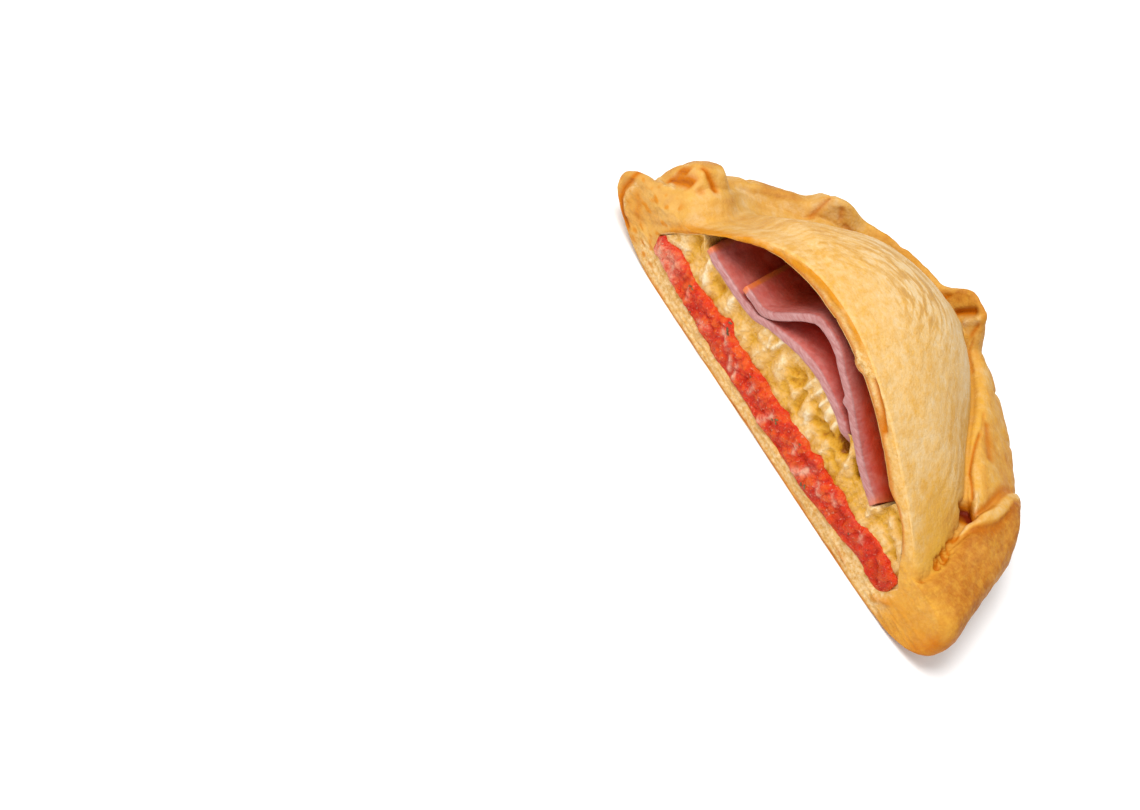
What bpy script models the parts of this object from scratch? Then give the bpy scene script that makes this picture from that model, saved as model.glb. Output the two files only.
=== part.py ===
"""Half of a ham and cheese pie, cut through the middle.

X runs along the cut, Y into the pie, Z up. Sizes are in metres. The shapes are worked out about the whole
pie's middle, with the cut on y = 0, and then moved so that the origin is the middle of the footprint.
"""

import math

import bmesh
import bpy
import numpy as np

# The whole pie
NOSE_RADIUS = 0.0655
PIE_HEIGHT = 0.0468
LID_THICKNESS = 0.0038
BASE_THICKNESS = 0.0045
APEX_X = -0.0040

# The clear space between neighbours, and its growth for each metre further in
GAP = 0.0003
LID_GAP = 0.0007
BACK_GAP = 0.03

# The sauce and the cheese: their tops, and the share of the cavity's width that they fill
SAUCE_TOP = 0.0128
SAUCE_SHARE = 0.94
CHEESE_LEVEL = 0.0200
CHEESE_SHARE = 0.92

# The ham: the ends of each slice along the cut, how deep its ends and its middle reach, and how much its
# left end runs aslant
HAM_THICKNESS = 0.0021
HAM_REST = 0.0210
HAM_SAG_DEPTH = 0.038
LOWER_ENDS = (-0.0375, 0.0295)
LOWER_DEPTHS = (0.010, 0.036)
LOWER_LEAN = 0.10
UPPER_ENDS = (-0.0260, 0.0345)
UPPER_DEPTHS = (0.018, 0.033)
UPPER_LEAN = 0.30
LEAN_START = 0.010
LEAN_RUN = 0.036

# The knobs where the folds of the rim end: the place round the rim and the half width in degrees, the height
# and the pull inwards
KNOBS = (
    (169.0, 9.0, 0.0062, 0.0020),
    (133.0, 7.5, 0.0056, 0.0015),
    (91.0, 10.5, 0.0082, 0.0010),
)
KNOB_CLIMB = 0.45

# The last fold laps over the rim from the right end of the cut. Its edge slants, so its place in degrees
# differs at the foot, on top and at the nose
FLAP_FOOT = 22.0
FLAP_TOP = 34.0
FLAP_NOSE = 42.0
FLAP_BLEND = 2.5
FLAP_LIFT = 0.0028

# Steps of the meshes
TURN_STEPS = 60
RIM_ROWS = 21
LID_ROWS = 11
FLOOR_ROWS = 7
CAVITY_ROWS = 9
SAUCE_STEPS = 40
CHEESE_STEPS = 44
HAM_STEPS = 32
DEPTH_ROWS = 8

# Points closer to the cut than this lie on it, and points closer together than this become one
ON_CUT = 1e-7
SAME_POINT = 1e-6


def around(turn, right, back, left):
    """A size that changes smoothly from the right end of the cut, by the back, to the left end."""
    lean = np.cos(turn)
    to_right = (right - back) * np.clip(lean, 0, 1) ** 2
    to_left = (left - back) * np.clip(-lean, 0, 1) ** 2
    return back + to_right + to_left


def hump(value, middle, reach):
    """1 in the middle, and down smoothly to 0 at the reach on both sides."""
    off = np.clip(np.abs(value - middle) / reach, 0, 1)
    return (1 - off**2) ** 2


def hump_at(turn, degrees, reach):
    """A hump round the rim, with its place and its reach in degrees."""
    return hump(np.degrees(turn), degrees, reach)


def ramp(value):
    """0 below -1, 1 above 1, and smooth between."""
    part = np.clip(value * 0.5 + 0.5, 0, 1)
    return part * part * (3 - 2 * part)


def spline(rows, samples):
    """A cubic B-spline down the rows of a net, from its first row to its last."""
    net = np.concatenate([[2 * rows[0] - rows[1]], rows, [2 * rows[-1] - rows[-2]]])
    place = np.linspace(0, len(rows) - 1, samples)
    cell = np.minimum(place.astype(int), len(rows) - 2)
    u = place - cell
    weights = (
        (1 - u) ** 3,
        3 * u**3 - 6 * u**2 + 4,
        -3 * u**3 + 3 * u**2 + 3 * u + 1,
        u**3,
    )
    return sum(w[:, None, None] * net[cell + k] for k, w in enumerate(weights)) / 6


def ripple(x, y, size, seed):
    """Gentle unevenness between about -1 and 1, the sum of a few slanted waves of about this size."""
    draw = np.random.default_rng(seed)
    total = 0.0
    for _ in range(5):
        heading = draw.uniform(0, math.pi)
        pitch = size * draw.uniform(0.7, 1.6)
        along = x * math.cos(heading) + y * math.sin(heading)
        total = total + np.sin(math.tau * along / pitch + draw.uniform(0, math.tau))
    return total / 3


# The crust


def crease_radius(turn):
    """How far out the lid meets the folded rim. The broad fold behind the right end reaches further in."""
    return around(turn, 0.0535, 0.0582, 0.0600) - 0.0065 * hump_at(turn, 45, 55)


def knob_rise(turn):
    """How high the knobs stand over the rest of the rim."""
    return sum(up * hump_at(turn, place, reach) for place, reach, up, _ in KNOBS)


def lid_height(rho, turn):
    """The lid's upper side, from the apex, where rho is 0, to the crease, where it is 1.

    It falls with a power of rho, lower on the right, where the lid slopes gently, and higher at the back,
    where it is full. On the left it levels out before the crease. The dough of each knob climbs its foot.
    """
    foot = around(turn, 0.0135, 0.0160, 0.0150)
    power = around(turn, 1.62, 3.10, 2.50)
    reach = around(turn, 1.04, 1.00, 0.845)
    rounding = 0.10
    left_to_fall = 1 - (rho / reach) ** power
    above = (left_to_fall + np.sqrt(left_to_fall**2 + rounding**2)) / 2
    above = above - (math.sqrt(1 + rounding**2) - 1) / 2
    climb = KNOB_CLIMB * knob_rise(turn) * hump(rho, 1.0, 0.22)
    return foot + (PIE_HEIGHT - foot) * above + climb


def rim_net(turn):
    """The radius and height of the outer side's net, from the middle of the base to the crease."""
    knob_up = knob_rise(turn)
    knob_in = sum(pull * hump_at(turn, place, reach) for place, reach, _, pull in KNOBS)
    slim = 0.0026 * hump_at(turn, 155, 34) + 0.0024 * hump_at(turn, 50, 45)
    foot_flap, top_flap, nose_flap = (
        FLAP_LIFT * ramp((edge - np.degrees(turn)) / FLAP_BLEND) for edge in (FLAP_FOOT, FLAP_TOP, FLAP_NOSE)
    )
    nose = around(turn, NOSE_RADIUS, NOSE_RADIUS, NOSE_RADIUS + 0.0010) - slim
    crest = around(turn, 0.0600, 0.0618, 0.0630) - slim - knob_in
    crest_height = around(turn, 0.0164, 0.0195, 0.0185) + knob_up
    crease = crease_radius(turn)
    crease_height = lid_height(1.0, turn)
    level = np.zeros_like(turn)
    rows = (
        (level, level),
        (level + 0.030, level),
        (level + 0.042, level),
        (level + 0.046, level),
        (level + 0.053, level + 0.0015),
        (nose - 0.0060, level + 0.0050),
        (nose + 0.0015, level + 0.0090),
        (nose + 0.0004 + 0.4 * nose_flap, 0.0148 + 0.5 * nose_flap + 0.55 * knob_up),
        (crest + 0.8 * top_flap, crest_height + top_flap),
        (crease + 0.0030, crease_height + 0.0025 + 0.7 * knob_up + 1.1 * foot_flap),
        (crease, crease_height),
    )
    return np.array([np.stack(row) for row in rows])


def turned(radius, height, turn):
    """Points round the pie's middle."""
    return np.stack([radius * np.cos(turn), radius * np.sin(turn), height + 0 * turn], axis=-1)


def ribs(foot, heights, rho):
    """Points on straight lines in plan from the apex, where rho is 0, to the foot, where it is 1."""
    x = APEX_X + rho * (foot[..., 0] - APEX_X)
    y = rho * foot[..., 1]
    return np.stack([x, y, heights], axis=-1)


def outer_skin(turn):
    """Rows of points from the middle of the base, round the rim and over the lid to the apex."""
    net = spline(rim_net(turn), RIM_ROWS)
    rim = turned(net[:, 0], net[:, 1], turn)
    rho = 1 - np.linspace(0, 1, LID_ROWS + 1)[1:, None] ** 1.3
    lid = ribs(rim[-1], lid_height(rho, turn), rho)
    return np.concatenate([rim, lid])


def cavity_radius(turn):
    return around(turn, 0.0520, 0.0540, 0.0495)


def cavity_foot(turn):
    return around(turn, 0.0115, 0.0120, 0.0110)


def cavity_height(rho, turn):
    """The lid's underside, from the apex, where rho is 0, to the wall, where it is 1."""
    foot = cavity_foot(turn)
    power = around(turn, 1.60, 3.60, 2.60)
    return foot + (PIE_HEIGHT - LID_THICKNESS - foot) * (1 - rho**power)


def floor_height(share, turn):
    """The top of the base, from the middle to the wall, where it turns up in a round corner."""
    return BASE_THICKNESS + (cavity_foot(turn) - BASE_THICKNESS) * share**10


def inner_skin(turn):
    """Rows of points from the middle of the floor, up the wall and under the lid to the apex."""
    share = 1 - np.linspace(1, 0, FLOOR_ROWS)[:, None] ** 2
    floor = turned(share * cavity_radius(turn), floor_height(share, turn), turn)
    rho = 1 - np.linspace(0, 1, CAVITY_ROWS + 1)[1:, None] ** 1.3
    lid = ribs(floor[-1], cavity_height(rho, turn), rho)
    return np.concatenate([floor, lid])


def under_lid(x, y):
    """The height of the lid's underside over any place inside the cavity."""
    turn = np.linspace(0, math.pi, 181)
    foot_x = cavity_radius(turn) * np.cos(turn) - APEX_X
    foot_y = cavity_radius(turn) * np.sin(turn)
    bearing = np.arctan2(y, x - APEX_X)
    here = np.interp(bearing, np.arctan2(foot_y, foot_x), turn)
    reach = np.interp(here, turn, np.hypot(foot_x, foot_y))
    rho = np.minimum(np.hypot(x - APEX_X, y) / reach, 1)
    return cavity_height(rho, here)


# The fillings, as heights over the plan


def ham_lower_line(x):
    """The lower slice's middle, along the cut: up over the heap of cheese and down to the right."""
    arch = 0.0085 * hump(x, 0.0010, 0.0240)
    tip = 0.0020 * hump(x, -0.0400, 0.0070)
    fall = 0.0022 * ramp((x - 0.0210) / 0.0110)
    return HAM_REST + arch + tip - fall


def ham_upper_line(x):
    """The upper slice's middle: flat at the left, a steep step up, then a long slope down to the right."""
    step = 0.0134 * ramp((x + 0.0120) / 0.0070)
    slope = 0.0168 * ramp((x - 0.0140) / 0.0190)
    tip = 0.0016 * hump(x, 0.0350, 0.0050)
    return 0.0242 + step - slope + tip


def ham_lower(x, y):
    """The middle of the lower slice, lower further back and clear of the lid."""
    sag = 1 - 0.45 * (y / HAM_SAG_DEPTH) ** 2
    height = HAM_REST + (ham_lower_line(x) - HAM_REST) * sag
    return np.minimum(height, under_lid(x, y) - LID_GAP - 2 * HAM_THICKNESS)


def ham_upper(x, y):
    """The middle of the upper slice, clear of the lower slice and of the lid."""
    sag = 1 - 0.45 * (y / HAM_SAG_DEPTH) ** 2
    height = HAM_REST + (ham_upper_line(x) - HAM_REST) * sag
    height = np.maximum(height, ham_lower(x, y) + HAM_THICKNESS + 2 * GAP)
    return np.minimum(height, under_lid(x, y) - LID_GAP - 0.5 * HAM_THICKNESS)


def sauce_top(x, y):
    return SAUCE_TOP + 0.0009 * ripple(x, y, 0.016, 3)


def cheese_top(x, y):
    """The cheese: a heap that carries the ham, and a pile at the right end that fills up to the lid."""
    lumps = 0.0007 * ripple(x, y, 0.011, 5)
    right_pile = 0.0085 * hump(x, 0.0410, 0.0130)
    left_pile = 0.0012 * hump(x, -0.0420, 0.0060)
    loose = CHEESE_LEVEL + right_pile + left_pile + lumps
    ham = ham_lower(x, y) - 0.5 * HAM_THICKNESS * slant(ham_lower, x, y)
    beside = 0.001
    under_ham = (x > LOWER_ENDS[0] - LOWER_LEAN * y - beside) & (x < UPPER_ENDS[1] + beside)
    height = np.where(under_ham, ham - 2 * GAP - BACK_GAP * y, loose)
    return np.minimum(height, under_lid(x, y) - LID_GAP)


def slant(surface, x, y):
    """How much taller a sheet on this surface stands than it is thick."""
    reach = 0.0004
    rise = (surface(x + reach, y) - surface(x - reach, y)) / (2 * reach)
    return np.sqrt(1 + rise**2)


# The meshes


def loft(name, rings, capped, collection, material):
    """A closed solid through rings of points. Rings that shrink to a line or a point close themselves."""
    bm = bmesh.new()
    verts = [[bm.verts.new(point) for point in ring] for ring in rings.tolist()]
    count = len(verts[0])
    for first, second in zip(verts, verts[1:]):
        for k in range(count):
            after = (k + 1) % count
            bm.faces.new((first[k], first[after], second[after], second[k]))
    if capped:
        bm.faces.new(reversed(verts[0]))
        bm.faces.new(verts[-1])
    bmesh.ops.remove_doubles(bm, verts=bm.verts, dist=SAME_POINT)
    bmesh.ops.recalc_face_normals(bm, faces=bm.faces)
    mesh = bpy.data.meshes.new(name)
    bm.to_mesh(mesh)
    bm.free()
    mesh.shade_smooth()
    mesh.set_sharp_from_angle(angle=math.radians(50))
    mesh.materials.append(material)
    piece = bpy.data.objects.new(name, mesh)
    collection.objects.link(piece)
    return piece


def finish(name, colour, roughness):
    """A plain baked or moist surface of one colour."""
    material = bpy.data.materials.new(name)
    material.use_nodes = True
    shader = material.node_tree.nodes["Principled BSDF"]
    shader.inputs["Base Color"].default_value = (*colour, 1)
    shader.inputs["Roughness"].default_value = roughness
    shader.inputs["Metallic"].default_value = 0.0
    return material


def make_crust(collection, centre):
    """Base, folded rim and lid in one: a section round the dough, turned half way round."""
    turn = np.linspace(0, math.pi, TURN_STEPS + 1)
    section = np.concatenate([outer_skin(turn), inner_skin(turn)[::-1]])
    section[..., 1] = np.where(np.abs(section[..., 1]) < ON_CUT, 0, section[..., 1])
    rings = section.transpose(1, 0, 2) - centre
    return loft("crust", rings, True, collection, finish("baked_crust", (0.74, 0.45, 0.16), 0.6))


def layer(x, depth, top, bottom, front, face_rows, lean=0.0):
    """Rings for a filling: one section across the pie at each place along the cut.

    A slice whose left end runs back aslant leans to the left by this share of the depth there.
    """
    back_share = np.linspace(0, 1, DEPTH_ROWS)
    y_grid = front(x)[:, None] + back_share * (depth - front(x))[:, None]
    leaning = lean * np.clip((LEAN_START - x) / LEAN_RUN, 0, 1)
    x_grid = x[:, None] - leaning[:, None] * y_grid
    upper = np.stack([x_grid, y_grid, top(x_grid, y_grid)], axis=-1)
    lower = np.stack([x_grid, y_grid, bottom(x_grid, y_grid)], axis=-1)
    share = np.linspace(0, 1, face_rows + 2)[1:-1, None]
    face = lower[:, None, 0] + share * (upper[:, None, 0] - lower[:, None, 0])
    back = upper[:, None, -1] + share * (lower[:, None, -1] - upper[:, None, -1])
    return np.concatenate([lower[:, ::-1], face, upper, back], axis=1)


def spread(left, right, steps):
    """Places along the cut, closer together at both ends."""
    return (left + right) / 2 - (right - left) / 2 * np.cos(np.linspace(0, math.pi, steps + 1))


def half_round(x, share):
    """How deep a filling reaches where it fills this share of the cavity's width."""
    turn = np.linspace(0, math.pi, 181)
    edge_x = share * cavity_radius(turn) * np.cos(turn)
    edge_y = share * cavity_radius(turn) * np.sin(turn)
    return np.interp(x, edge_x[::-1], edge_y[::-1])


def cut_face(x):
    """The fillings' cut side, just behind the crust's."""
    return np.full_like(x, GAP)


def make_sauce(collection, centre):
    x = spread(-SAUCE_SHARE * cavity_radius(math.pi), SAUCE_SHARE * cavity_radius(0.0), SAUCE_STEPS)

    def bottom(x_grid, y_grid):
        turn = np.arctan2(y_grid, x_grid)
        return floor_height(np.hypot(x_grid, y_grid) / cavity_radius(turn), turn) + 1.5 * GAP

    def front(x_line):
        return np.minimum(cut_face(x_line), half_round(x_line, SAUCE_SHARE))

    rings = layer(x, half_round(x, SAUCE_SHARE), sauce_top, bottom, front, 2) - centre
    return loft("tomato_sauce", rings, False, collection, finish("tomato", (0.66, 0.06, 0.02), 0.3))


def make_cheese(collection, centre):
    x = spread(-CHEESE_SHARE * cavity_radius(math.pi), CHEESE_SHARE * cavity_radius(0.0), CHEESE_STEPS)

    def bottom(x_grid, y_grid):
        return sauce_top(x_grid, y_grid) + 1.5 * GAP

    def front(x_line):
        hollows = 0.0010 + 0.0007 * ripple(x_line, 0 * x_line, 0.009, 8)
        return np.minimum(hollows, half_round(x_line, CHEESE_SHARE))

    rings = layer(x, half_round(x, CHEESE_SHARE), cheese_top, bottom, front, 2) - centre
    return loft("cheese", rings, False, collection, finish("melted_cheese", (0.82, 0.68, 0.34), 0.45))


def room_under_lid(x, height):
    """How far back the lid stays this high, at each place along the cut."""
    depth = np.linspace(0, 0.050, 101)
    free = under_lid(x[:, None], depth) > height[:, None]
    return depth[np.maximum(free.sum(axis=1) - 1, 0)]


def make_ham(collection, centre, name, line, surface, ends, depths, lean):
    """A thin slice that lies on the surface, cut square at the front and round at the back."""
    left, right = ends
    end_depth, depth = depths
    x = np.linspace(left, right, HAM_STEPS + 1)
    across = np.abs(2 * (x - left) / (right - left) - 1)
    reach = end_depth + (depth - end_depth) * np.sqrt(1 - across**3)
    reach = np.minimum(reach, room_under_lid(x - lean * reach, line(x) + 2 * HAM_THICKNESS))

    def side(way):
        return lambda a, b: surface(a, b) + way * 0.5 * HAM_THICKNESS * slant(surface, a, b)

    rings = layer(x, reach, side(1), side(-1), cut_face, 0, lean)
    return loft(name, rings - centre, True, collection, finish(name, (0.78, 0.36, 0.34), 0.35))


def footprint_middle():
    """The middle of the crust's box, on the base."""
    turn = np.linspace(0, math.pi, TURN_STEPS + 1)
    skin = outer_skin(turn).reshape(-1, 3)
    low, high = skin.min(axis=0), skin.max(axis=0)
    return np.array([(low[0] + high[0]) / 2, high[1] / 2, 0.0])


for old in list(bpy.data.objects):
    bpy.data.objects.remove(old, do_unlink=True)

pie = bpy.data.collections.new("ham_and_cheese_pie")
bpy.context.scene.collection.children.link(pie)
middle = footprint_middle()

make_crust(pie, middle)
make_sauce(pie, middle)
make_cheese(pie, middle)
make_ham(pie, middle, "ham_lower", ham_lower_line, ham_lower, LOWER_ENDS, LOWER_DEPTHS, LOWER_LEAN)
make_ham(pie, middle, "ham_upper", ham_upper_line, ham_upper, UPPER_ENDS, UPPER_DEPTHS, UPPER_LEAN)
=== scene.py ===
"""The looks of half a ham and cheese pie, cut through the middle, on a pale floor in soft studio light."""

import math

import bmesh
import bpy
import numpy as np
from mathutils import Matrix, Vector


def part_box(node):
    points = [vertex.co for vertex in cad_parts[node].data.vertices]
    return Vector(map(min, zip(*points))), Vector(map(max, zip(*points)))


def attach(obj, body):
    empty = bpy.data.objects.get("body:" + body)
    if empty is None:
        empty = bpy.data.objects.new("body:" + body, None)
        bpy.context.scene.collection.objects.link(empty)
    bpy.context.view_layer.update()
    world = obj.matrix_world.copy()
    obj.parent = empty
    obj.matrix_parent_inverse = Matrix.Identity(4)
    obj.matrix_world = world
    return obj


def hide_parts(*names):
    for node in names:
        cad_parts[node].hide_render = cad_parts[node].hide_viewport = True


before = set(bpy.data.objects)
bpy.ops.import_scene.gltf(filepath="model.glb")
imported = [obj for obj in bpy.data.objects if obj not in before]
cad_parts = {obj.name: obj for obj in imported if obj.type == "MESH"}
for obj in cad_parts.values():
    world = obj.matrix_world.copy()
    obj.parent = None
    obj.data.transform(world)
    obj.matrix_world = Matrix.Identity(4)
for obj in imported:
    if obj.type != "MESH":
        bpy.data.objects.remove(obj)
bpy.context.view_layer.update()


# The crust. Base, folded rim and lid are one closed skin of baked dough, with the cut face between its
# outer and its inner side. The smooth form is the CAD crust's. The sharp folds, creases, pits and lumps of
# real dough are worked out as heights over it and added along its normals.

MM = 0.001
HEIGHT = 0.0468
LID_THICKNESS = 0.0038
BASE_THICKNESS = 0.0045
APEX_X = -0.0040
INTO_PART = np.array([-0.0001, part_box("crust")[0].y, 0.0])
# Each knob: the bearings between which it is full, how far it falls on each side, its lift and its pull in.
KNOBS = (
    (161.6, 172.2, 3.0, 2.2, 0.0071, 0.0020),
    (125.5, 134.8, 5.0, 1.7, 0.0050, 0.0012),
    (85.0, 96.6, 2.8, 3.8, 0.0080, 0.0012),
)


def around(angle, right, back, left):
    """A size that changes from the right end of the cut, by the back, to the left end, by cosine squared."""
    lean = np.cos(np.radians(angle))
    return back + (right - back) * np.clip(lean, 0, 1) ** 2 + (left - back) * np.clip(-lean, 0, 1) ** 2


def hump(value, middle, reach):
    """1 in the middle and 0 from the reach on: one minus the square of the share of the reach, squared."""
    return (1 - np.clip(np.abs(value - middle) / reach, 0, 1) ** 2) ** 2


def bumps(value, *rows):
    """The sum of several humps. Each has its height, its middle and its reach."""
    return sum(height * hump(value, middle, reach) for height, middle, reach in rows)


def bell(value, middle, width):
    """The bell curve: e to the power of minus the square of the way from the middle over the width."""
    return np.exp(-(((value - middle) / width) ** 2))


def ramp(value, middle=0.0, reach=1.0):
    """A rise from 0 to 1 over the reach on both sides of the middle, or a fall where the reach is negative.

    It is three times the square less twice the cube of the share of the way from its start to its end.
    """
    part = np.clip((value - middle) / reach * 0.5 + 0.5, 0, 1)
    return part * part * (3 - 2 * part)


def scatter_order(draw, cell):
    """One of 256 random entries for each cube of space, the same every time."""
    order = draw.permutation(256)
    at = cell % 256
    return order[(order[(order[at[..., 0]] + at[..., 1]) % 256] + at[..., 2]) % 256]


def grain(points, size, seed):
    """Smooth random unevenness between about -1 and 1, with lumps of about this size.

    Space is divided into cubes of this size. Each corner has a random slope, and the value is the blend of
    the eight corners' slopes times the ways to them, with the weights six t^5 less fifteen t^4 plus ten t^3.
    """
    draw = np.random.default_rng(seed)
    slopes = draw.normal(size=(256, 3))
    slopes /= np.linalg.norm(slopes, axis=1)[:, None]
    place = points / size + draw.uniform(0, 97, 3)
    cell = np.floor(place).astype(int)
    part = place - cell
    blend = part**3 * (part * (part * 6 - 15) + 10)
    total = np.zeros(points.shape[:-1])
    for corner in np.ndindex(2, 2, 2):
        slope = slopes[scatter_order(np.random.default_rng(seed + 1), cell + corner)]
        weight = np.prod(np.where(np.array(corner) == 1, blend, 1 - blend), axis=-1)
        total += weight * np.sum(slope * (part - corner), axis=-1)
    return 1.7 * total


def grains(points, *rows):
    """The sum of several grains over the same points. Each has its height, its size and its seed."""
    return sum(height * grain(points, size, seed) for height, size, seed in rows)


def spline(rows, place):
    """A cubic B-spline down the rows of a net, at these places between its first row, 0, and its last."""
    net = np.concatenate([[2 * rows[0] - rows[1]], rows, [2 * rows[-1] - rows[-2]]])
    cell = np.minimum(place.astype(int), len(rows) - 2)
    u = (place - cell)[:, None, None]
    line = np.arange(len(place))
    weights = ((1 - u) ** 3, 3 * u**3 - 6 * u**2 + 4, -3 * u**3 + 3 * u**2 + 3 * u + 1, u**3)
    return sum(weight * net[cell + step, line] for step, weight in enumerate(weights)) / 6


def knob_sum(angle, which):
    """The knobs' lifts, or their pulls inwards: full between two bearings, falling off on each side."""
    shapes = [ramp((angle - knob[0]) / knob[2]) * ramp((knob[1] - angle) / knob[3]) for knob in KNOBS]
    return sum(knob[which] * shape for knob, shape in zip(KNOBS, shapes))


def left_fill(angle):
    """How much fuller the dough is at the left, where the lid runs on into the rim without a crease."""
    return 0.0042 * ramp(angle, 154, 8) + 0.0014 * hump(angle, 167, 9)


def lid_height(rho, angle):
    """The lid's upper side: a fall with a power of rho, rounded off where it meets its own foot."""
    foot = around(angle, 0.0152, 0.0160, 0.0150) + 0.0036 * hump(angle, 53, 36)
    left = 1 - (rho / around(angle, 1.04, 1.00, 0.845)) ** around(angle, 1.62, 3.10, 2.50)
    above = (left + np.sqrt(left**2 + 0.01)) / 2 - (math.sqrt(1.01) - 1) / 2
    at_left = ramp(angle, 150, 4)
    knobs = knob_sum(angle, 4) * (1 - at_left) + 0.0060 * hump(angle, 168, 15) * at_left
    raised = 0.45 * knobs * hump(rho, 1.0, 0.22) + left_fill(angle) * hump(rho, 1.0, 0.34)
    return foot + (HEIGHT - foot) * above + raised


def crease_radius(angle):
    """How far out the crease between lid and rim lies. It draws in beside the flap."""
    wide = around(angle, 0.0535, 0.0582, 0.0600)
    at_left = 0.0030 * ramp(angle, 126, 12) + 0.0042 * ramp(angle, 158, 6)
    return wide - bumps(angle, (0.0065, 45, 55), (0.0045, 53, 30)) - at_left


def rim_rows(angle, flap):
    """The radius and height of the outer side's net rows, with the flap's lift."""
    up = knob_sum(angle, 4)
    slim = bumps(angle, (0.0026, 152, 30), (0.0024, 50, 45))
    pinch = 0.0042 * hump(angle, 175.2, 4.4)
    low = hump(angle, 0, 14)
    nose = around(angle, 0.0655, 0.0655, 0.0665) - slim + 0.0014 * low**2
    nose += bumps(angle, (-0.0017, 17, 14), (0.0014, 180, 5), (-0.0027, 171, 6))
    crest = around(angle, 0.0600, 0.0618, 0.0616) - slim - knob_sum(angle, 5) - pinch
    crest += 0.0012 * hump(angle, 36, 13)
    crest_height = around(angle, 0.0164, 0.0195, 0.0185) + up
    crest_height += bumps(angle, (0.0028, 108, 24), (-0.0010, 68, 22), (0.0010, 40, 9))
    crease = crease_radius(angle)
    crease_height = lid_height(1.0, angle)
    beside = crease + np.minimum(0.0030, 0.5 * np.maximum(crest - crease, 0.001))
    beside_height = crease_height + 0.0025 * (1 - 0.8 * hump(angle, 150, 17)) - 0.0016 * hump(angle, 0, 16)
    beside_height += 0.7 * up - 0.8 * left_fill(angle)
    level = 0 * angle
    rows = (
        (level, level),
        (level + 0.030, level),
        (level + 0.042, level),
        (level + 0.046, level),
        (0.053 + 0.003 * low, 0.0015 - 0.0010 * low),
        (nose - 0.0060 + 0.0035 * low, 0.0050 - 0.0010 * low),
        (nose + 0.0015, 0.0090 - 0.0005 * low),
        (nose + 0.0004 - 0.0010 * low - 0.8 * pinch + 0.1 * flap, 0.0148 + 0.5 * flap + 0.55 * up),
        (crest + 0.8 * flap, crest_height + flap),
        (beside, beside_height + 1.1 * flap),
        (crease, crease_height),
    )
    return np.array([np.stack(row, axis=-1) for row in rows])


def ribs(radius, angle, heights, rho):
    """Points on straight lines in plan from the apex, where rho is 0, to the foot, where it is 1."""
    foot_x, foot_y = radius * np.cos(np.radians(angle)), radius * np.sin(np.radians(angle))
    return np.stack([APEX_X + rho * (foot_x - APEX_X), rho * foot_y, heights], axis=-1)


def outer_skin(angle, place, rho, flap):
    """Rows of points from the middle of the base, round the rim and over the lid to the apex."""
    count = len(place)
    net = spline(rim_rows(angle[:count], flap), place)
    way = np.radians(angle[:count])
    rim = np.stack([net[..., 0] * np.cos(way), net[..., 0] * np.sin(way), net[..., 1]], axis=-1)
    top, rho = angle[count:], rho[:, None]
    return np.concatenate([rim, ribs(crease_radius(top), top, lid_height(rho, top), rho)])


def cavity_radius(angle):
    """How far out the wall of the cavity stands."""
    return around(angle, 0.0500, 0.0540, 0.0495) - 0.0110 * hump(angle, 54, 42)


def cavity_foot(angle):
    """The height at which the wall of the cavity meets the underside of the lid."""
    return around(angle, 0.0115, 0.0120, 0.0110)


def cavity_height(rho, angle):
    """The lid's underside: a fall with a power of rho, with room for the cheese piled up at the right."""
    foot = cavity_foot(angle)
    fall = rho ** around(angle, 1.64, 3.60, 2.35)
    at_right = np.clip(np.cos(np.radians(angle)), 0, 1) ** 8
    pile = 0.0030 * hump(rho, 0.82, 0.17) * at_right - 0.0008 * hump(rho, 0, 0.45)
    return foot + (HEIGHT - LID_THICKNESS - foot) * (1 - fall) + pile


def floor_height(x, y, share, angle):
    """The base's upper side. It turns up in a tight corner, and at the cut the dough is thicker in places."""
    turned_up = share ** around(angle, 26, 10, 40)
    uneven = 1.5 * ramp(x, -30, -9) + 0.9 * ramp(x, -41, -3)
    uneven += bumps(x, (-0.5, -19, 4), (-0.5, 0, 5), (-0.6, 18, 5), (2.3, 39.5, 9), (0.9, 30, 9))
    corner = (cavity_foot(angle) - BASE_THICKNESS) * turned_up
    return BASE_THICKNESS + corner + uneven * MM * hump(y, 0, 14) * (1 - turned_up)


def inner_skin(angle, share, rho):
    """Rows of points from the middle of the floor, up the wall and under the lid to the apex."""
    angle, share, rho = angle[None, :], share[:, None], rho[:, None]
    x = share * cavity_radius(angle) * np.cos(np.radians(angle))
    y = share * cavity_radius(angle) * np.sin(np.radians(angle))
    floor = np.stack([x, y, floor_height(x / MM, y / MM, share, angle)], axis=-1)
    roof = ribs(cavity_radius(angle), angle, cavity_height(rho, angle), rho)
    return np.concatenate([floor, roof])


def normals_of(grid):
    """Unit normals of a grid of points: the cross product of its steps down and along.

    All columns meet in the first and in the last row, which get the mean normal of the row beside them.
    """
    normal = np.cross(np.gradient(grid, axis=1), np.gradient(grid, axis=0))
    size = np.linalg.norm(normal, axis=-1, keepdims=True)
    normal = normal / np.maximum(size, 1e-15)
    for pole, beside in ((0, 1), (-1, -2)):
        mean = normal[beside].mean(axis=0) * [1, 0, 1]
        normal[pole] = mean / np.linalg.norm(mean)
    return normal


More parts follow.
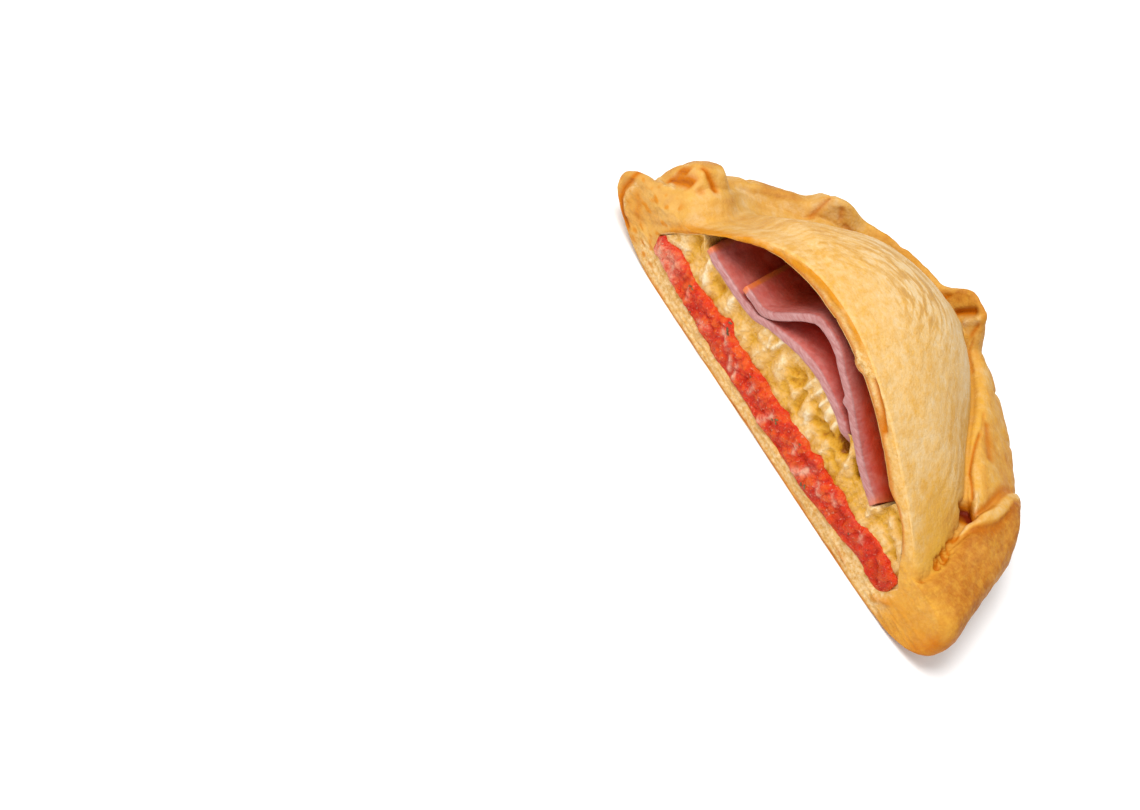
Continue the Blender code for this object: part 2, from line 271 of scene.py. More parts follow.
def stroke(a, b, path, width):
    """A soft line: the bell curve of the distance to a path of straight pieces, over its half width.

    The path's numbers are its points' a and b, one after another. The half width is one number, or a pair for
    the path's two ends, between which it changes evenly.
    """
    path = np.reshape(path, (-1, 2))
    widths = np.linspace(*width, len(path)) if isinstance(width, tuple) else np.full(len(path), width)
    most = np.zeros(np.broadcast(a, b).shape)
    for (a0, b0), (a1, b1), wide0, wide1 in zip(path, path[1:], widths, widths[1:]):
        long = max((a1 - a0) ** 2 + (b1 - b0) ** 2, 1e-12)
        t = np.clip(((a - a0) * (a1 - a0) + (b - b0) * (b1 - b0)) / long, 0, 1)
        off = np.hypot(a - a0 - t * (a1 - a0), b - b0 - t * (b1 - b0))
        most = np.maximum(most, bell(off, 0, wide0 + t * (wide1 - wide0)))
    return most


def strokes(a, b, rows):
    """The strongest of several soft lines. Each has its half width, its strength and its path."""
    return np.max([strength * stroke(a, b, path, width) for width, strength, *path in rows], axis=0)


def build(name, points, faces, material, attributes=None):
    """A smooth mesh object of points and faces, with values on its points. Doubled points become one."""
    mesh = bpy.data.meshes.new(name)
    mesh.from_pydata(points.reshape(-1, 3), [], faces)
    for key, values in (attributes or {}).items():
        layer = mesh.attributes.new(key, "FLOAT", "POINT")
        layer.data.foreach_set("value", np.ascontiguousarray(values, np.float32).ravel())
    bm = bmesh.new()
    bm.from_mesh(mesh)
    bmesh.ops.remove_doubles(bm, verts=bm.verts, dist=1e-6)
    bmesh.ops.dissolve_degenerate(bm, edges=bm.edges, dist=1e-7)
    bmesh.ops.recalc_face_normals(bm, faces=bm.faces)
    bm.to_mesh(mesh)
    bm.free()
    mesh.shade_smooth()
    mesh.materials.append(material)
    piece = bpy.data.objects.new(name, mesh)
    bpy.context.scene.collection.objects.link(piece)
    return piece


def quads(rows, columns, closed):
    """The faces of a grid of points, joined round its columns if it is closed."""
    count = columns if closed else columns - 1
    r, c = np.meshgrid(np.arange(rows - 1), np.arange(count), indexing="ij")
    after = (c + 1) % columns
    corners = (r * columns + c, r * columns + after, (r + 1) * columns + after, (r + 1) * columns + c)
    return np.stack(corners, -1).reshape(-1, 4)


def fill_in(tree, node, inputs):
    """Link each of these inputs of a node to a socket, or set it to a value."""
    for key, value in inputs.items():
        if isinstance(value, bpy.types.NodeSocket):
            tree.links.new(value, node.inputs[key])
        else:
            node.inputs[key].default_value = value


def shade(tree, kind, inputs=None, **settings):
    """A shader node with these inputs and settings."""
    node = tree.nodes.new("ShaderNode" + kind)
    for key, value in settings.items():
        setattr(node, key, value)
    fill_in(tree, node, inputs or {})
    return node


def math_of(tree, operation, *values, clamp=False):
    """The result of a sum, product or other operation on sockets and numbers."""
    return shade(tree, "Math", dict(enumerate(values)), operation=operation, use_clamp=clamp).outputs[0]


def mixed(tree, factor, first, second, blend="MIX"):
    """Two colours, mixed or blended by a factor."""
    return shade(tree, "Mix", {0: factor, 6: first, 7: second}, data_type="RGBA", blend_type=blend).outputs[2]


def noise(tree, where, scale, detail=4.0, rough=0.55, distortion=0.0):
    """Noise between 0 and 1 at this scale, per metre."""
    values = {"Vector": where, "Scale": scale, "Detail": detail, "Roughness": rough, "Distortion": distortion}
    return shade(tree, "TexNoise", values).outputs[0]


def stretch(tree, socket, low, high, to_low=0.0, to_high=1.0):
    """A value moved from one range to another, held inside it."""
    values = {"Value": socket, "From Min": low, "From Max": high, "To Min": to_low, "To Max": to_high}
    return shade(tree, "MapRange", values).outputs[0]


def varied(tree, value, socket, amount, clamp=False):
    """A value with this much of a noise added to it or taken from it."""
    return math_of(tree, "MULTIPLY_ADD", stretch(tree, socket, 0.3, 0.7, -1, 1), amount, value, clamp=clamp)


def ramp_of(tree, socket, stops):
    """A colour for each value, by stops of place and colour."""
    node = shade(tree, "ValToRGB", {0: socket})
    line = node.color_ramp
    while len(line.elements) < len(stops):
        line.elements.new(1.0)
    for element, (place, colour) in zip(line.elements, stops):
        element.position = place
        element.color = (*colour, 1)
    return node.outputs[0]


def group_of(name, inputs, outputs):
    """A new shader node group with these named sockets, and its input and output nodes."""
    tree = bpy.data.node_groups.new(name, "ShaderNodeTree")
    for label, kind in inputs:
        tree.interface.new_socket(label, in_out="INPUT", socket_type="NodeSocket" + kind)
    for label, kind in outputs:
        tree.interface.new_socket(label, in_out="OUTPUT", socket_type="NodeSocket" + kind)
    return tree, tree.nodes.new("NodeGroupInput").outputs, tree.nodes.new("NodeGroupOutput").inputs


DOUGH_MASKS = ("browning", "yellow", "dark", "crumb", "orange", "inside", "streak", "dull")
DOUGH_MASKS += ("along", "outward")


def baked_dough():
    """The colour, roughness and relief of baked dough, from how browned, yellow, dark and crumbly it is.

    The browning wanders with noise of several sizes, and with streaks that follow the lid's contours. A row
    of colours from pale sand to dark brown takes its place from it, and the other masks are mixed over it.
    The dark marks are partly painted shade. The dulled left end and the cavity's inner side are painted
    shade, and the inner side also has a painted red reflection of the ham.
    """
    inputs = [("Vector", "Vector")] + [(label.title(), "Float") for label in DOUGH_MASKS]
    outputs = [("Color", "Color"), ("Roughness", "Float"), ("Height", "Float")]
    tree, given, made = group_of("baked_dough", inputs, outputs)
    where = given["Vector"]
    drawn = {0: math_of(tree, "MULTIPLY", given["Along"], 0.15), 1: given["Outward"]}
    drawn = shade(tree, "CombineXYZ", drawn).outputs[0]
    streaks = noise(tree, drawn, 0.50, 4, 0.58, 0.35)
    broad = noise(tree, where, 105, 3)
    patches = noise(tree, where, 380, 4, 0.62)
    fine = noise(tree, where, 1250, 3, 0.65)
    wander = varied(tree, given["Browning"], broad, 0.07)
    wander = varied(tree, wander, patches, math_of(tree, "MULTIPLY_ADD", given["Browning"], -0.04, 0.12))
    wander = varied(tree, wander, fine, 0.06)
    streaked = math_of(tree, "MULTIPLY", stretch(tree, streaks, 0.42, 0.64, -0.2, 1), given["Streak"])
    wander = math_of(tree, "MULTIPLY_ADD", streaked, 0.34, wander, clamp=True)
    skin = ramp_of(
        tree,
        wander,
        (
            (0.0, (0.615, 0.445, 0.235)),
            (0.20, (0.598, 0.382, 0.150)),
            (0.40, (0.548, 0.288, 0.056)),
            (0.60, (0.482, 0.204, 0.024)),
            (0.80, (0.375, 0.126, 0.010)),
            (1.0, (0.26, 0.070, 0.004)),
        ),
    )
    tint = stretch(tree, noise(tree, where, 620, 3, 0.6), 0.46, 0.68, 0, 0.36)
    golden = math_of(tree, "ADD", math_of(tree, "MULTIPLY", given["Yellow"], 0.85), tint, clamp=True)
    skin = mixed(tree, golden, skin, (0.60, 0.315, 0.034, 1))
    # Mixed toward a dull tan along the streaks, and over the left end as painted shade.
    dull = math_of(tree, "MULTIPLY_ADD", streaked, 0.62, given["Dull"], clamp=True)
    skin = mixed(tree, dull, skin, (0.465, 0.260, 0.080, 1))
    pores = noise(tree, where, 900, 4, 0.7)
    crumb_stops = ((0.32, (0.43, 0.205, 0.040)), (0.46, (0.53, 0.315, 0.100)), (0.62, (0.63, 0.455, 0.235)))
    colour = mixed(tree, given["Crumb"], skin, ramp_of(tree, pores, crumb_stops))
    uneven = stretch(tree, patches, 0.3, 0.62, 0.72, 1.1)
    uneven = math_of(tree, "MULTIPLY", given["Orange"], uneven, clamp=True)
    colour = mixed(tree, uneven, colour, (0.505, 0.190, 0.006, 1))
    # Dark marks: brown in the creases and marks, then nearly black where painted shade fills pits and
    # hollows.
    colour = mixed(tree, stretch(tree, given["Dark"], 0.0, 0.56), colour, (0.43, 0.118, 0.000, 1))
    colour = mixed(tree, stretch(tree, given["Dark"], 0.60, 0.88), colour, (0.14, 0.010, 0.000, 1))
    # The cavity's inner side: painted shade, with a painted red reflection of the ham.
    colour = mixed(tree, given["Inside"], colour, (0.17, 0.028, 0.006, 1))
    relief = math_of(tree, "MULTIPLY", noise(tree, where, 1500, 3, 0.6), 0.4)
    relief = math_of(tree, "MULTIPLY_ADD", patches, 0.55, relief)
    relief = math_of(tree, "MULTIPLY_ADD", streaked, 0.14, relief)
    tree.links.new(colour, made["Color"])
    tree.links.new(stretch(tree, patches, 0.3, 0.7, 0.50, 0.68), made["Roughness"])
    tree.links.new(relief, made["Height"])
    return tree


def attribute(tree, name):
    """A value that the mesh has on its points."""
    return shade(tree, "Attribute", attribute_name=name).outputs["Fac"]


def new_material(name):
    """A new material, its node tree, its shader and its Object coordinates."""
    material = bpy.data.materials.new(name)
    material.use_nodes = True
    tree = material.node_tree
    return material, tree, tree.nodes["Principled BSDF"], shade(tree, "TexCoord").outputs["Object"]


def finish(tree, shader, colour, roughness, gloss, height, deep):
    """Give the shader its colour, its roughness, its gloss and a relief of this depth, in metres."""
    relief = shade(tree, "Bump", {"Height": height, "Distance": deep, "Strength": 1.0}).outputs[0]
    values = {"Base Color": colour, "Roughness": roughness, "Specular IOR Level": gloss, "Normal": relief}
    fill_in(tree, shader, values)


crust_material, tree, shader, where = new_material("baked_crust")
dough = shade(tree, "Group", node_tree=baked_dough())
fill_in(tree, dough, {"Vector": where} | {label.title(): attribute(tree, label) for label in DOUGH_MASKS})
colour, roughness, height = dough.outputs
finish(tree, shader, colour, roughness, 0.12, height, 0.0005)

# The bearing of the column that runs along the flap's edge, and how many columns stand at each cut end and
# between the ends.
FOLD = 33.0
END_COLUMNS, MIDDLE_COLUMNS = 14, 335


def crust_columns():
    """Bearings round the half pie, close together at the cut ends, the flap's edge and the back knob."""
    ends = 3.4 * (1 - np.cos(np.linspace(0, math.pi / 2, END_COLUMNS)))
    line = np.linspace(ends[-1], 180 - ends[-1], 6000)
    density = 1 + bumps(line, (0.7, 30, 28), (0.8, 91, 14), (0.5, 170, 16)) + 3.5 * bell(line, FOLD, 0.8)
    total = np.concatenate([[0], np.cumsum((density[1:] + density[:-1]) / 2)])
    middle = np.interp(np.linspace(0, total[-1], MIDDLE_COLUMNS), total, line)
    return np.concatenate([ends[:-1], middle, (180 - ends[:-1])[::-1]])


def flap_edge_at(out):
    """The bearing of the flap's edge: a rounded path from the crease up over the crest and down the wall."""
    ways = (-1.0, -0.5, 0.7, 1.8, 3.1, 4.5, 5.75, 6.8, 8.0, 9.0, 12, 16, 30)
    bearings = (19.5, 22.4, 24.9, 26.8, 28.5, 30.9, 34, 37.4, 41.4, 43.6, 46.6, 48, 49)
    return np.mean([np.interp(out + step, ways, bearings) for step in (-0.9, -0.45, 0, 0.45, 0.9)], axis=0)


# The grid's rows run from the middle of the base over the net's rows to the crease, and on over the lid to
# the apex. The way out is outwards from the crease in mm: 4.6 for each row of the net, 55 for the whole lid.
NET_STEP, LID_WAY, FLAP_LIFT, MM_PER_DEGREE = 4.6, 55, 0.0028, 0.96
CREASE = 10
place = np.concatenate([np.linspace(0, 3, 34)[:-1], np.linspace(3, 5, 15)[:-1], np.linspace(5, CREASE, 74)])
rho = 1 - np.linspace(0, 1, 97)[1:] ** 1.15
out = np.concatenate([(CREASE - place) * NET_STEP, -(1 - rho) * LID_WAY])[:, None]
level = np.concatenate([place, CREASE + 0 * rho])[:, None]
on_lid = np.concatenate([0 * place, 1 + 0 * rho])[:, None]

# The grid's columns lean with the flap's edge, so that one of them runs along it.
edge = flap_edge_at(out)
lean = FOLD + (edge - FOLD) * ramp(out, -10, 9) * ramp(out, 40, -6)
columns = crust_columns()[None, :]
angle = np.where(columns < FOLD, columns * lean / FOLD, 90 - (90 - columns) * (90 - lean) / (90 - FOLD))
angle = np.where(columns < 90, angle, columns)
along = angle * MM_PER_DEGREE
degree = np.interp(out, [-1, 10, 20], [0.84, 1.05, 1.14])
slope = np.gradient(edge[:, 0], out[:, 0])[:, None] * degree
from_edge = (edge - angle) * degree / np.sqrt(1 + slope**2)
plain = outer_skin(angle, place, rho, 0.0)
to_lapped = outer_skin(angle, place, rho, FLAP_LIFT) - plain

# The last fold of the rim laps over from the right end of the cut and ends in a thick slanting edge.
soft = ramp(out, 7.6, 2) * ramp(out, 26, -6)
lap = ramp(from_edge, 0.12 + 1.2 * soft, 0.22 + 1.3 * soft) * ramp(out, -0.3, 0.6)
lap *= 0.45 + 0.55 * ramp(out, 8, 4)
lap *= (1 - 0.12 * soft) * (1 - 0.75 * ramp(angle, 20, -4) * ramp(out, 7, -4))
skin = plain + lap[..., None] * to_lapped
on_flap = ramp(from_edge / 0.3)
edge_part = ramp(out, 0.4, 1.0) * ramp(out, 22, -6)
normal = normals_of(plain + (ramp(from_edge / 2.5) * ramp(out, -0.3, 0.6))[..., None] * to_lapped)

# Each crease: half width, depth and darkness, then its path as bearings and ways out from the crease line.
# The darkness is partly browned dough and partly painted shade in the creases, strongest in the deep pits.
CREASES = (
    (0.9, 0.50, 0.12, 24, 0.2, 40, 0.0, 60, 0.0, 76, 0.0, 85, 0.2),
    (0.50, 0.45, 0.55, 55.6, 3.0, 51.4, 2.1, 47.1, 1.5, 41.6, 0.8, 37.5, 1.6, 33.8, 1.9),
    (0.8, 0.30, 0.46, 59.5, 4.6, 52.9, 5.3, 48.8, 5.6), (0.5, 0.25, 0.22, 63, 3.4, 58, 3.6, 55, 3.0),
    (1.1, 0.16, 0.12, 22.0, -0.5, 18.5, -0.9, 11.5, -0.7, 6, 0.0, 3, 0.3),
    (0.62, 0.1, 0.66, 17.4, -1.1, 16.0, -0.5),
    (0.50, 0.3, 0.60, 21.4, 0.4, 19.2, -0.3, 18.2, -0.9, 17.0, -1.0, 14.8, 0.2),
    (0.66, 0.1, 0.66, 10.4, -1.0, 9.1, -0.3), (0.30, 0.4, 0.50, 11.8, -1.2, 10.2, -0.9),
    (0.45, 0.6, 0.62, 1.6, 0.4, 0.7, 0.9), (0.40, 0.5, 0.35, 22.6, -0.7, 21.8, -0.4),
    ((0.4, 1.2), 1.0, 1.0, 28.2, -2.8, 31.0, 0.2), ((1.5, 1.9), 1.6, 1.0, 30.6, 0.6, 28.4, 1.1),
    ((0.9, 0.6), 1.4, 0.72, 89.8, 3.0, 91.2, 1.6, 92.6, 0.2), (0.7, 0.6, 0.48, 86.3, 3.0, 85.8, 1.8),
    (0.8, 0.8, 0.55, 97.0, 3.0, 97.6, 1.2, 100, 0.6, 106, 1.0, 112, 1.2),
    (0.7, 0.4, 0.35, 84.0, 2.6, 82.0, 1.4, 78, 0.8),
    ((0.55, 0.95), 0.7, 0.70, 170.2, 6.6, 169.0, 2.8, 167.3, -0.6),
    ((0.7, 1.0), 0.35, 0.72, 173.4, 11.4, 173.2, 9.2, 172.9, 6.6, 172.6, 3.8),
    (0.7, 0.3, 0.68, 172.0, 10.8, 172.0, 8.8), (1.0, 0.2, 0.34, 171.6, 0.2, 171.2, -0.4),
    (0.9, 0.5, 0.35, 175.2, 17.6, 174.2, 15.8), (0.8, 0.8, 0.40, 133.2, 7.0, 134.0, 3.0, 134.6, 0.4),
    (0.7, 0.5, 0.35, 128.0, 1.6, 129.2, 3.6), (0.8, 0.5, 0.30, 112, 1.0, 120, 1.2, 126, 1.0),
)
# Pale flakes and lips that stand up beside the deepest creases: half width and height, then the path.
RAISED = (
    (0.40, 0.45, 173.4, 14.6, 177.1, 8.9, 176.8, 7.0), (0.65, 0.7, 174.2, 9.8, 176.1, 6.9),
    (0.6, 0.5, 35.5, 2.7, 32.0, 3.1, 29.5, 3.2), (0.8, 0.7, 87.4, 3.2, 88.8, 1.2),
)
relief, dark, flaky = np.zeros((3, *from_edge.shape))
for width, depth, darkness, *path in CREASES:
    line = stroke(along, out, np.reshape(path, (-1, 2)) * [MM_PER_DEGREE, 1], width)
    relief -= depth * line
    dark = np.maximum(dark, darkness * line)
for width, height, *path in RAISED:
    line = stroke(along, out, np.reshape(path, (-1, 2)) * [MM_PER_DEGREE, 1], width)
    relief += height * line
    flaky = np.maximum(flaky, line)

# The wall's pleats run down from the knobs and between them, with the dough full on both sides. Each has its
# bearing, its depth and how far it leans.
PLEATS = (
    (169, 0.9, 0.10), (151, 0.5, -0.12), (133, 0.9, 0.08), (112, 0.6, -0.1),
    (91, 1.1, 0.06), (73, 0.6, 0.12), (60, 0.5, -0.08),
)
pleats = 0
for bearing, depth, lean_out in PLEATS:
    off = (angle - bearing) * 1.1 - lean_out * (out - 12)
    pleats = pleats + depth * (bell(off, 0, 0.9) - 0.35 * bell(off, 0, 3.2))
band = ramp(from_edge, 0.25, 0.3) * ramp(from_edge, 1.7, -0.35) * edge_part
beside = bell(from_edge, 2.35, 0.75) * edge_part * ramp(out, 11, -4)
gap = bell(from_edge, -0.5, 0.6) * edge_part
facet = ramp(out, 0.1, 0.5) * ramp(out, 1.9, -0.4) * ramp(angle, 28.2, 0.4) * ramp(angle, 33.6, -1.6)
relief += 0.30 * band - 0.45 * beside - 0.35 * gap - 0.5 * facet
relief -= pleats * ramp(out, 9, 3) * ramp(out, 27, -5)


def patch(bearing, wide, way, deep):
    """A round patch on the outer side: a hump of the bearing times a hump of the way out."""
    return hump(angle, bearing, wide) * hump(out, way, deep)


# Pits and crumbs lie by the right end of the crease. The rim's dough is rough, and the lid's is calm and
# drawn out along its contours.
crumbly = patch(12, 13, -0.3, 2.4)
pits = ramp(grain(skin, 0.0017, 17), 0.22, 0.18) * crumbly
relief += 0.35 * crumbly * grain(skin, 0.0011, 18) - 0.8 * pits
# The pits are darkened, partly as painted shade.
dark = np.maximum(dark, 0.66 * pits)
rim_part = (1 - on_lid) * ramp(out, 1, 2) * ramp(out, 32, -6)
rough_dough = grains(skin, (0.30, 0.0085, 11), (0.20, 0.0036, 12), (0.10, 0.0016, 13))
drawn_out = np.stack([along * 0.16 + 0 * out, out + 0 * along, 0 * along], -1) * MM
from_apex = ramp(out, -42, 6)
on_base = ramp(level, 3.4, -0.5)
calm_dough = grains(skin, (0.15, 0.0120, 14), (0.05, 0.0012, 16))
calm_dough += 0.10 * grain(drawn_out, 0.0020, 15) * from_apex * (1 - on_base)
relief += (rim_part * rough_dough + (1 - rim_part) * calm_dough) * (1 - 0.8 * on_base)
skin = skin + relief[..., None] * MM * normal

# The inner side has as many rows as the outer one, so that the cut strips between them have straight rungs.
INNER_COLUMNS, INNER_LID = 32, 0.93
below, beyond = np.sum(place <= 3), np.sum((place > 3) & (place <= 7))
share = np.concatenate([np.linspace(0, 0.86, below), np.linspace(0.86, 1, beyond + 1)[1:]])
inner_rho = np.concatenate([np.linspace(1, INNER_LID, np.sum(place > 7) + 1)[1:], INNER_LID * rho])
inner_angle = 180 * (0.5 - 0.5 * np.cos(np.linspace(0, math.pi, INNER_COLUMNS)))
inner_angle[[0, -1]] = 0, 180
inside = inner_skin(inner_angle, share, inner_rho)
x, z = inside[..., 0] / MM, inside[..., 2] / MM
ragged = 0.9 * stroke(x, 0 * x, (6.5, 0, 8.0, 0), 0.9) * ramp(z, 30, 4)
wavy = (grains(inside, (0.30, 0.006, 21), (0.12, 0.0022, 22)) + ragged) * hump(inside[..., 1], 0, 0.02)
inside = inside - wavy[..., None] * MM * normals_of(inside)


def rounded(grid, toward, deep, amount):
    """A skin rolled in at the cut, toward the dough's other side: a quarter of an ellipse over the depth."""
    left = np.clip(1 - grid[..., 1] / deep, 0, 1)
    return grid + toward * (amount * (1 - np.sqrt(1 - left**2)))[..., None]


through = (inside[:, [0, -1]] - skin[:, [0, -1]]) * [1, 0, 1]
through = through / np.linalg.norm(through, axis=-1, keepdims=True)
side_x = skin[..., 0] / MM
soft = ramp(side_x, 50, 6) * ramp(out, 22, -5) + ramp(side_x, -50, -5) * ramp(out, 20, -4)
toward = through[:, (angle[0] > 90).astype(int)]
skin = rounded(skin, toward, (0.5 + 4.3 * soft) * MM, (0.5 + 2.4 * soft) * MM)
inside = rounded(inside, -through[:, (inner_angle > 90).astype(int)], 0.45 * MM, 0.45 * MM)


def cut_strip(outer_line, inner_line, columns):
    """The cut face: straight lines from the outer side to the inner one, without their ends."""
    part = np.linspace(0, 1, columns + 2)[1:-1]
    part = 0.5 - 0.5 * np.cos(math.pi * part) * (0.8 + 0.2 * np.cos(math.pi * part) ** 2)
    return outer_line[:, None] + part[:, None] * (inner_line - outer_line)[:, None], part


STRIP_COLUMNS = 25
left_strip, strip_part = cut_strip(skin[:, -1], inside[:, -1], STRIP_COLUMNS)
right_strip, _ = cut_strip(skin[:, 0], inside[:, 0], STRIP_COLUMNS)

# Lines on the cut face, as x and z in mm: by the left lobe, the torn strips, the crumb between them, a flake.
LOBE_LINE = (-64.4, 17.0, -64.0, 14.2, -64.2, 10.2, -63.3, 7.5, -60.6, 5.4, -57.0, 4.2)
PALE_LINE = (-62.2, 14.1, -62.6, 11.5, -62.2, 9.1, -60.9, 7.1, -59.2, 6.1)
TORN_STRIPS = ((12.9, 44.3, 15.8, 43.2, 18.7, 41.9), (12.5, 41.9, 14.7, 40.7, 17.8, 38.8, 22.2, 35.6))
CRUMB_PATCH = (6.0, 42.2, 8.0, 40.6, 9.6, 42.4)
BAKED_FLAKE = (48.0, 3.8, 49.3, 5.1, 51.3, 7.0)


def cut_relief(strip, part):
    """How far the cut face stands out, in mm: crumb, layers, a groove by the left lobe, torn strips."""
    x, z = strip[..., 0] / MM, strip[..., 2] / MM
    crumb = grains(strip, (0.20, 0.0050, 31), (0.20, 0.0020, 32), (0.12, 0.0009, 33))
    crumb += 0.24 * grain(strip, 0.0013, 36) * ramp(x, -50, -3)
    layers = 0.30 * grain(strip * [0.16, 1, 1.3], 0.0012, 34) * ramp(z, 7.5, -1.5)
    swept = np.stack([(0.62 * x + 0.78 * z) * 0.14, 0 * x, 0.62 * z - 0.78 * x], -1)
    crumb += 0.40 * grain(swept, 2.2, 37) * ramp(x, -45, -4) * ramp(z, 6, 3)
    torn = 0.45 * stroke(x, z, TORN_STRIPS[0], 0.5) + 0.8 * stroke(x, z, TORN_STRIPS[1], 0.75)
    rough_patch = (0.5 + 0.6 * grain(strip, 0.0013, 35)) * stroke(x, z, CRUMB_PATCH, 1.4)
    lobe = 1.3 * stroke(x, z, LOBE_LINE, 0.60) + 0.9 * ramp(x, -64.6, -0.8)
    ridge = 0.5 * stroke(x, z, PALE_LINE, 0.5) + 0.5 * stroke(x, z, BAKED_FLAKE, 0.7)
    return (crumb + layers + 0.2 + rough_patch + ridge - torn - lobe) * np.minimum(1, 6 * part * (1 - part))


for strip in (left_strip, right_strip):
    strip[..., 1] -= cut_relief(strip, strip_part) * MM

body = np.concatenate([skin, left_strip, inside[:, ::-1], right_strip[:, ::-1]], axis=1)
x, y, z = (body / MM).transpose(2, 0, 1)


def all_round(outer, left=0.0, inner=0.0, right=0.0):
    """Values for the whole body, from those of its outer side, left strip, inner side and right strip."""
    parts = ((outer, skin), (left, left_strip), (inner, inside), (right, right_strip))
    return np.concatenate([values + np.zeros(part.shape[:2]) for values, part in parts], axis=1)


on_skin, on_strip = all_round(1), all_round(0, 1, 0, 1)
strip_share = all_round(0, strip_part, 1, strip_part[::-1])
# The cavity's inner side is painted dark red-brown: painted shade and a painted reflection of the ham.
inside_mask = all_round(0, 0, 1, 0) * ramp(y, 1.0, 0.8)
lid_strip = on_strip * ramp(z - 0.10 * np.abs(x), 15, 3)
base_strip = on_strip * ramp(z, 7.0, -1.0) * ramp(np.abs(x + 1), 52, -3)
by_cut = all_round(out <= 16) * ramp(y, 3.4, -2.6) * ramp(np.abs(x), 50, 4)
by_cut = np.maximum(on_strip, by_cut)
by_lobe = (1 - on_strip) * ramp(y, 3, -1.5) * ramp(x, -56, -2)
at_left = ramp(x, -45, -5) * (1 - inside_mask)
swept = grain(np.stack([(0.62 * x + 0.78 * z) * 0.16, 0.3 * y, 0.62 * z - 0.78 * x], -1), 2.6, 58)
blotch = grain(body, 0.0042, 59)
specks = ramp(grain(body, 0.0019, 60), 0.42, 0.14) * at_left * ramp(y, 2.5, -1.5)
SLOPE_TOP = ((24, 34, 39, 43, 50, 59, 67, 74, 84), (1.5, 2.0, 1.4, 1.0, 2.2, 3.6, 3.6, 3.2, 2.2))
slope_top = np.interp(angle, *SLOPE_TOP)
slope_part = ramp(out, -0.6, 0.7) * ramp((slope_top - out) / 0.8) * hump(angle, 56, 38) ** 0.5
tip = stroke(x, z, (63.6, 6.8, 65.4, 12.0), 2.6) * ramp(y, 7, -3) * (0.8 + 0.4 * grain(body, 0.002, 50))

# How browned the dough is: the lid, the rim beside it, the flap on the rim, and both ends of the cut.
lid_browning = 0.28 + 0.06 * grain(skin * [0.5, 1, 1.2], 0.016, 41) + 0.10 * ramp(out, -4, 4)
lid_browning -= 0.19 * hump(angle, 96, 62) * ramp(out, -44, 6) * ramp(out, -5, -5)
lid_browning += 0.16 * patch(14, 16, -9, 9) - 0.10 * patch(24, 50, -24, 24)
lid_browning += 0.04 * ramp(angle, 120, 30) * ramp(out, -22, 8)
rim_browning = 0.43 + grains(skin, (0.10, 0.010, 42), (0.10, 0.0034, 46)) + 0.08 * relief
rim_browning += 0.08 * ramp(out, 9, 5)
rim_browning += 0.16 * hump(angle, 91, 12) * ramp(out, 2.5, 2) - 0.08 * hump(angle, 180, 14)
rim_browning += bumps(angle, (0.20, 167, 6), (0.05, 112, 22)) * ramp(out, 1, 2) - 0.20 * hump(angle, 134, 24)
rim_browning += 0.45 * hump(angle, 143, 11) * ramp(out, 5, 2) + 0.25 * hump(angle, 98, 8) * ramp(out, 5, -2)
flap_browning = 0.76 + grains(skin, (0.05, 0.010, 43), (0.04, 0.0030, 47))
flap_browning += bumps(angle, (-0.08, 0, 22), (0.10, 9, 14))
# Browner in the hollow beside the flap's edge: painted shade.
flap_browning += 0.26 * beside * hump(out, 5.5, 7.5) - 0.50 * band - 0.10 * ramp(out, 2.2, -1.5)
flapped = on_flap * ramp(out, -0.6, 0.8)
rim_browning += flapped * (flap_browning - rim_browning) + 0.42 * facet
to_rim = ramp((out - 1.4 - 1.2 * hump(angle, 56, 30) + 1.8 * flapped) / 1.3)
skin_browning = lid_browning + to_rim * (rim_browning - lid_browning) - 0.25 * flaky
ends_browning = 0.50 + grains(body, (0.11, 0.006, 44), (0.11, 0.0024, 48)) + 0.18 * ramp(x, 50, 4)
ends_browning += 0.12 * ramp(x, -48, -4) + 0.22 * ramp(x, -64.2, -0.8) - 0.14 * lid_strip
browning = all_round(skin_browning, 0.30, 0.30, 0.30)
browning += by_cut * (ends_browning - browning)
browning += (0.16 * swept + 0.10 * blotch - 0.08) * at_left + 0.20 * tip

# Where it is yellow, and where the left end is painted duller and darker, as painted shade.
yellow = 0.3 * patch(178, 34, 0, 16) + 0.95 * patch(10, 13, -1.5, 4.5) + 0.4 * patch(14, 16, -8, 9)
yellow = all_round(np.clip(yellow + (0.50 + 0.35 * grain(skin, 0.0030, 55)) * slope_part, 0, 1))
yellow += by_cut * (0.35 * (1 - lid_strip) * ramp(np.abs(x + 4), 48, 3) - yellow)
yellow += (0.34 * blotch - 0.22 * swept) * at_left
dull = (0.44 + 0.16 * swept) * at_left * by_cut + 0.22 * ramp(x, -36, -8) * (1 - by_cut) * (1 - inside_mask)

# How dark it is: creases, with painted shade in the gap and the hollow beside the flap's edge, outside; on
# the cut the groove, torn strips, and painted shade along the lid's inner lip.
shadow = 0.50 * gap * ramp(out, 11, -4) * ramp(out, 1.2, 1.0)
shadow = np.maximum(shadow, 0.36 * beside * hump(out, 5.5, 7))
dark = all_round(np.clip(np.maximum(np.maximum(dark, shadow), 0.55 * facet), 0, 1))
under_line = ramp((0.9 + 0.5 * grain(body * [1, 1, 0], 0.005, 47) - z) / 0.5) * ramp(np.abs(x), 50, -4)
cut_dark = 0.34 * under_line * (1 + 0.6 * grain(body, 0.004, 40))
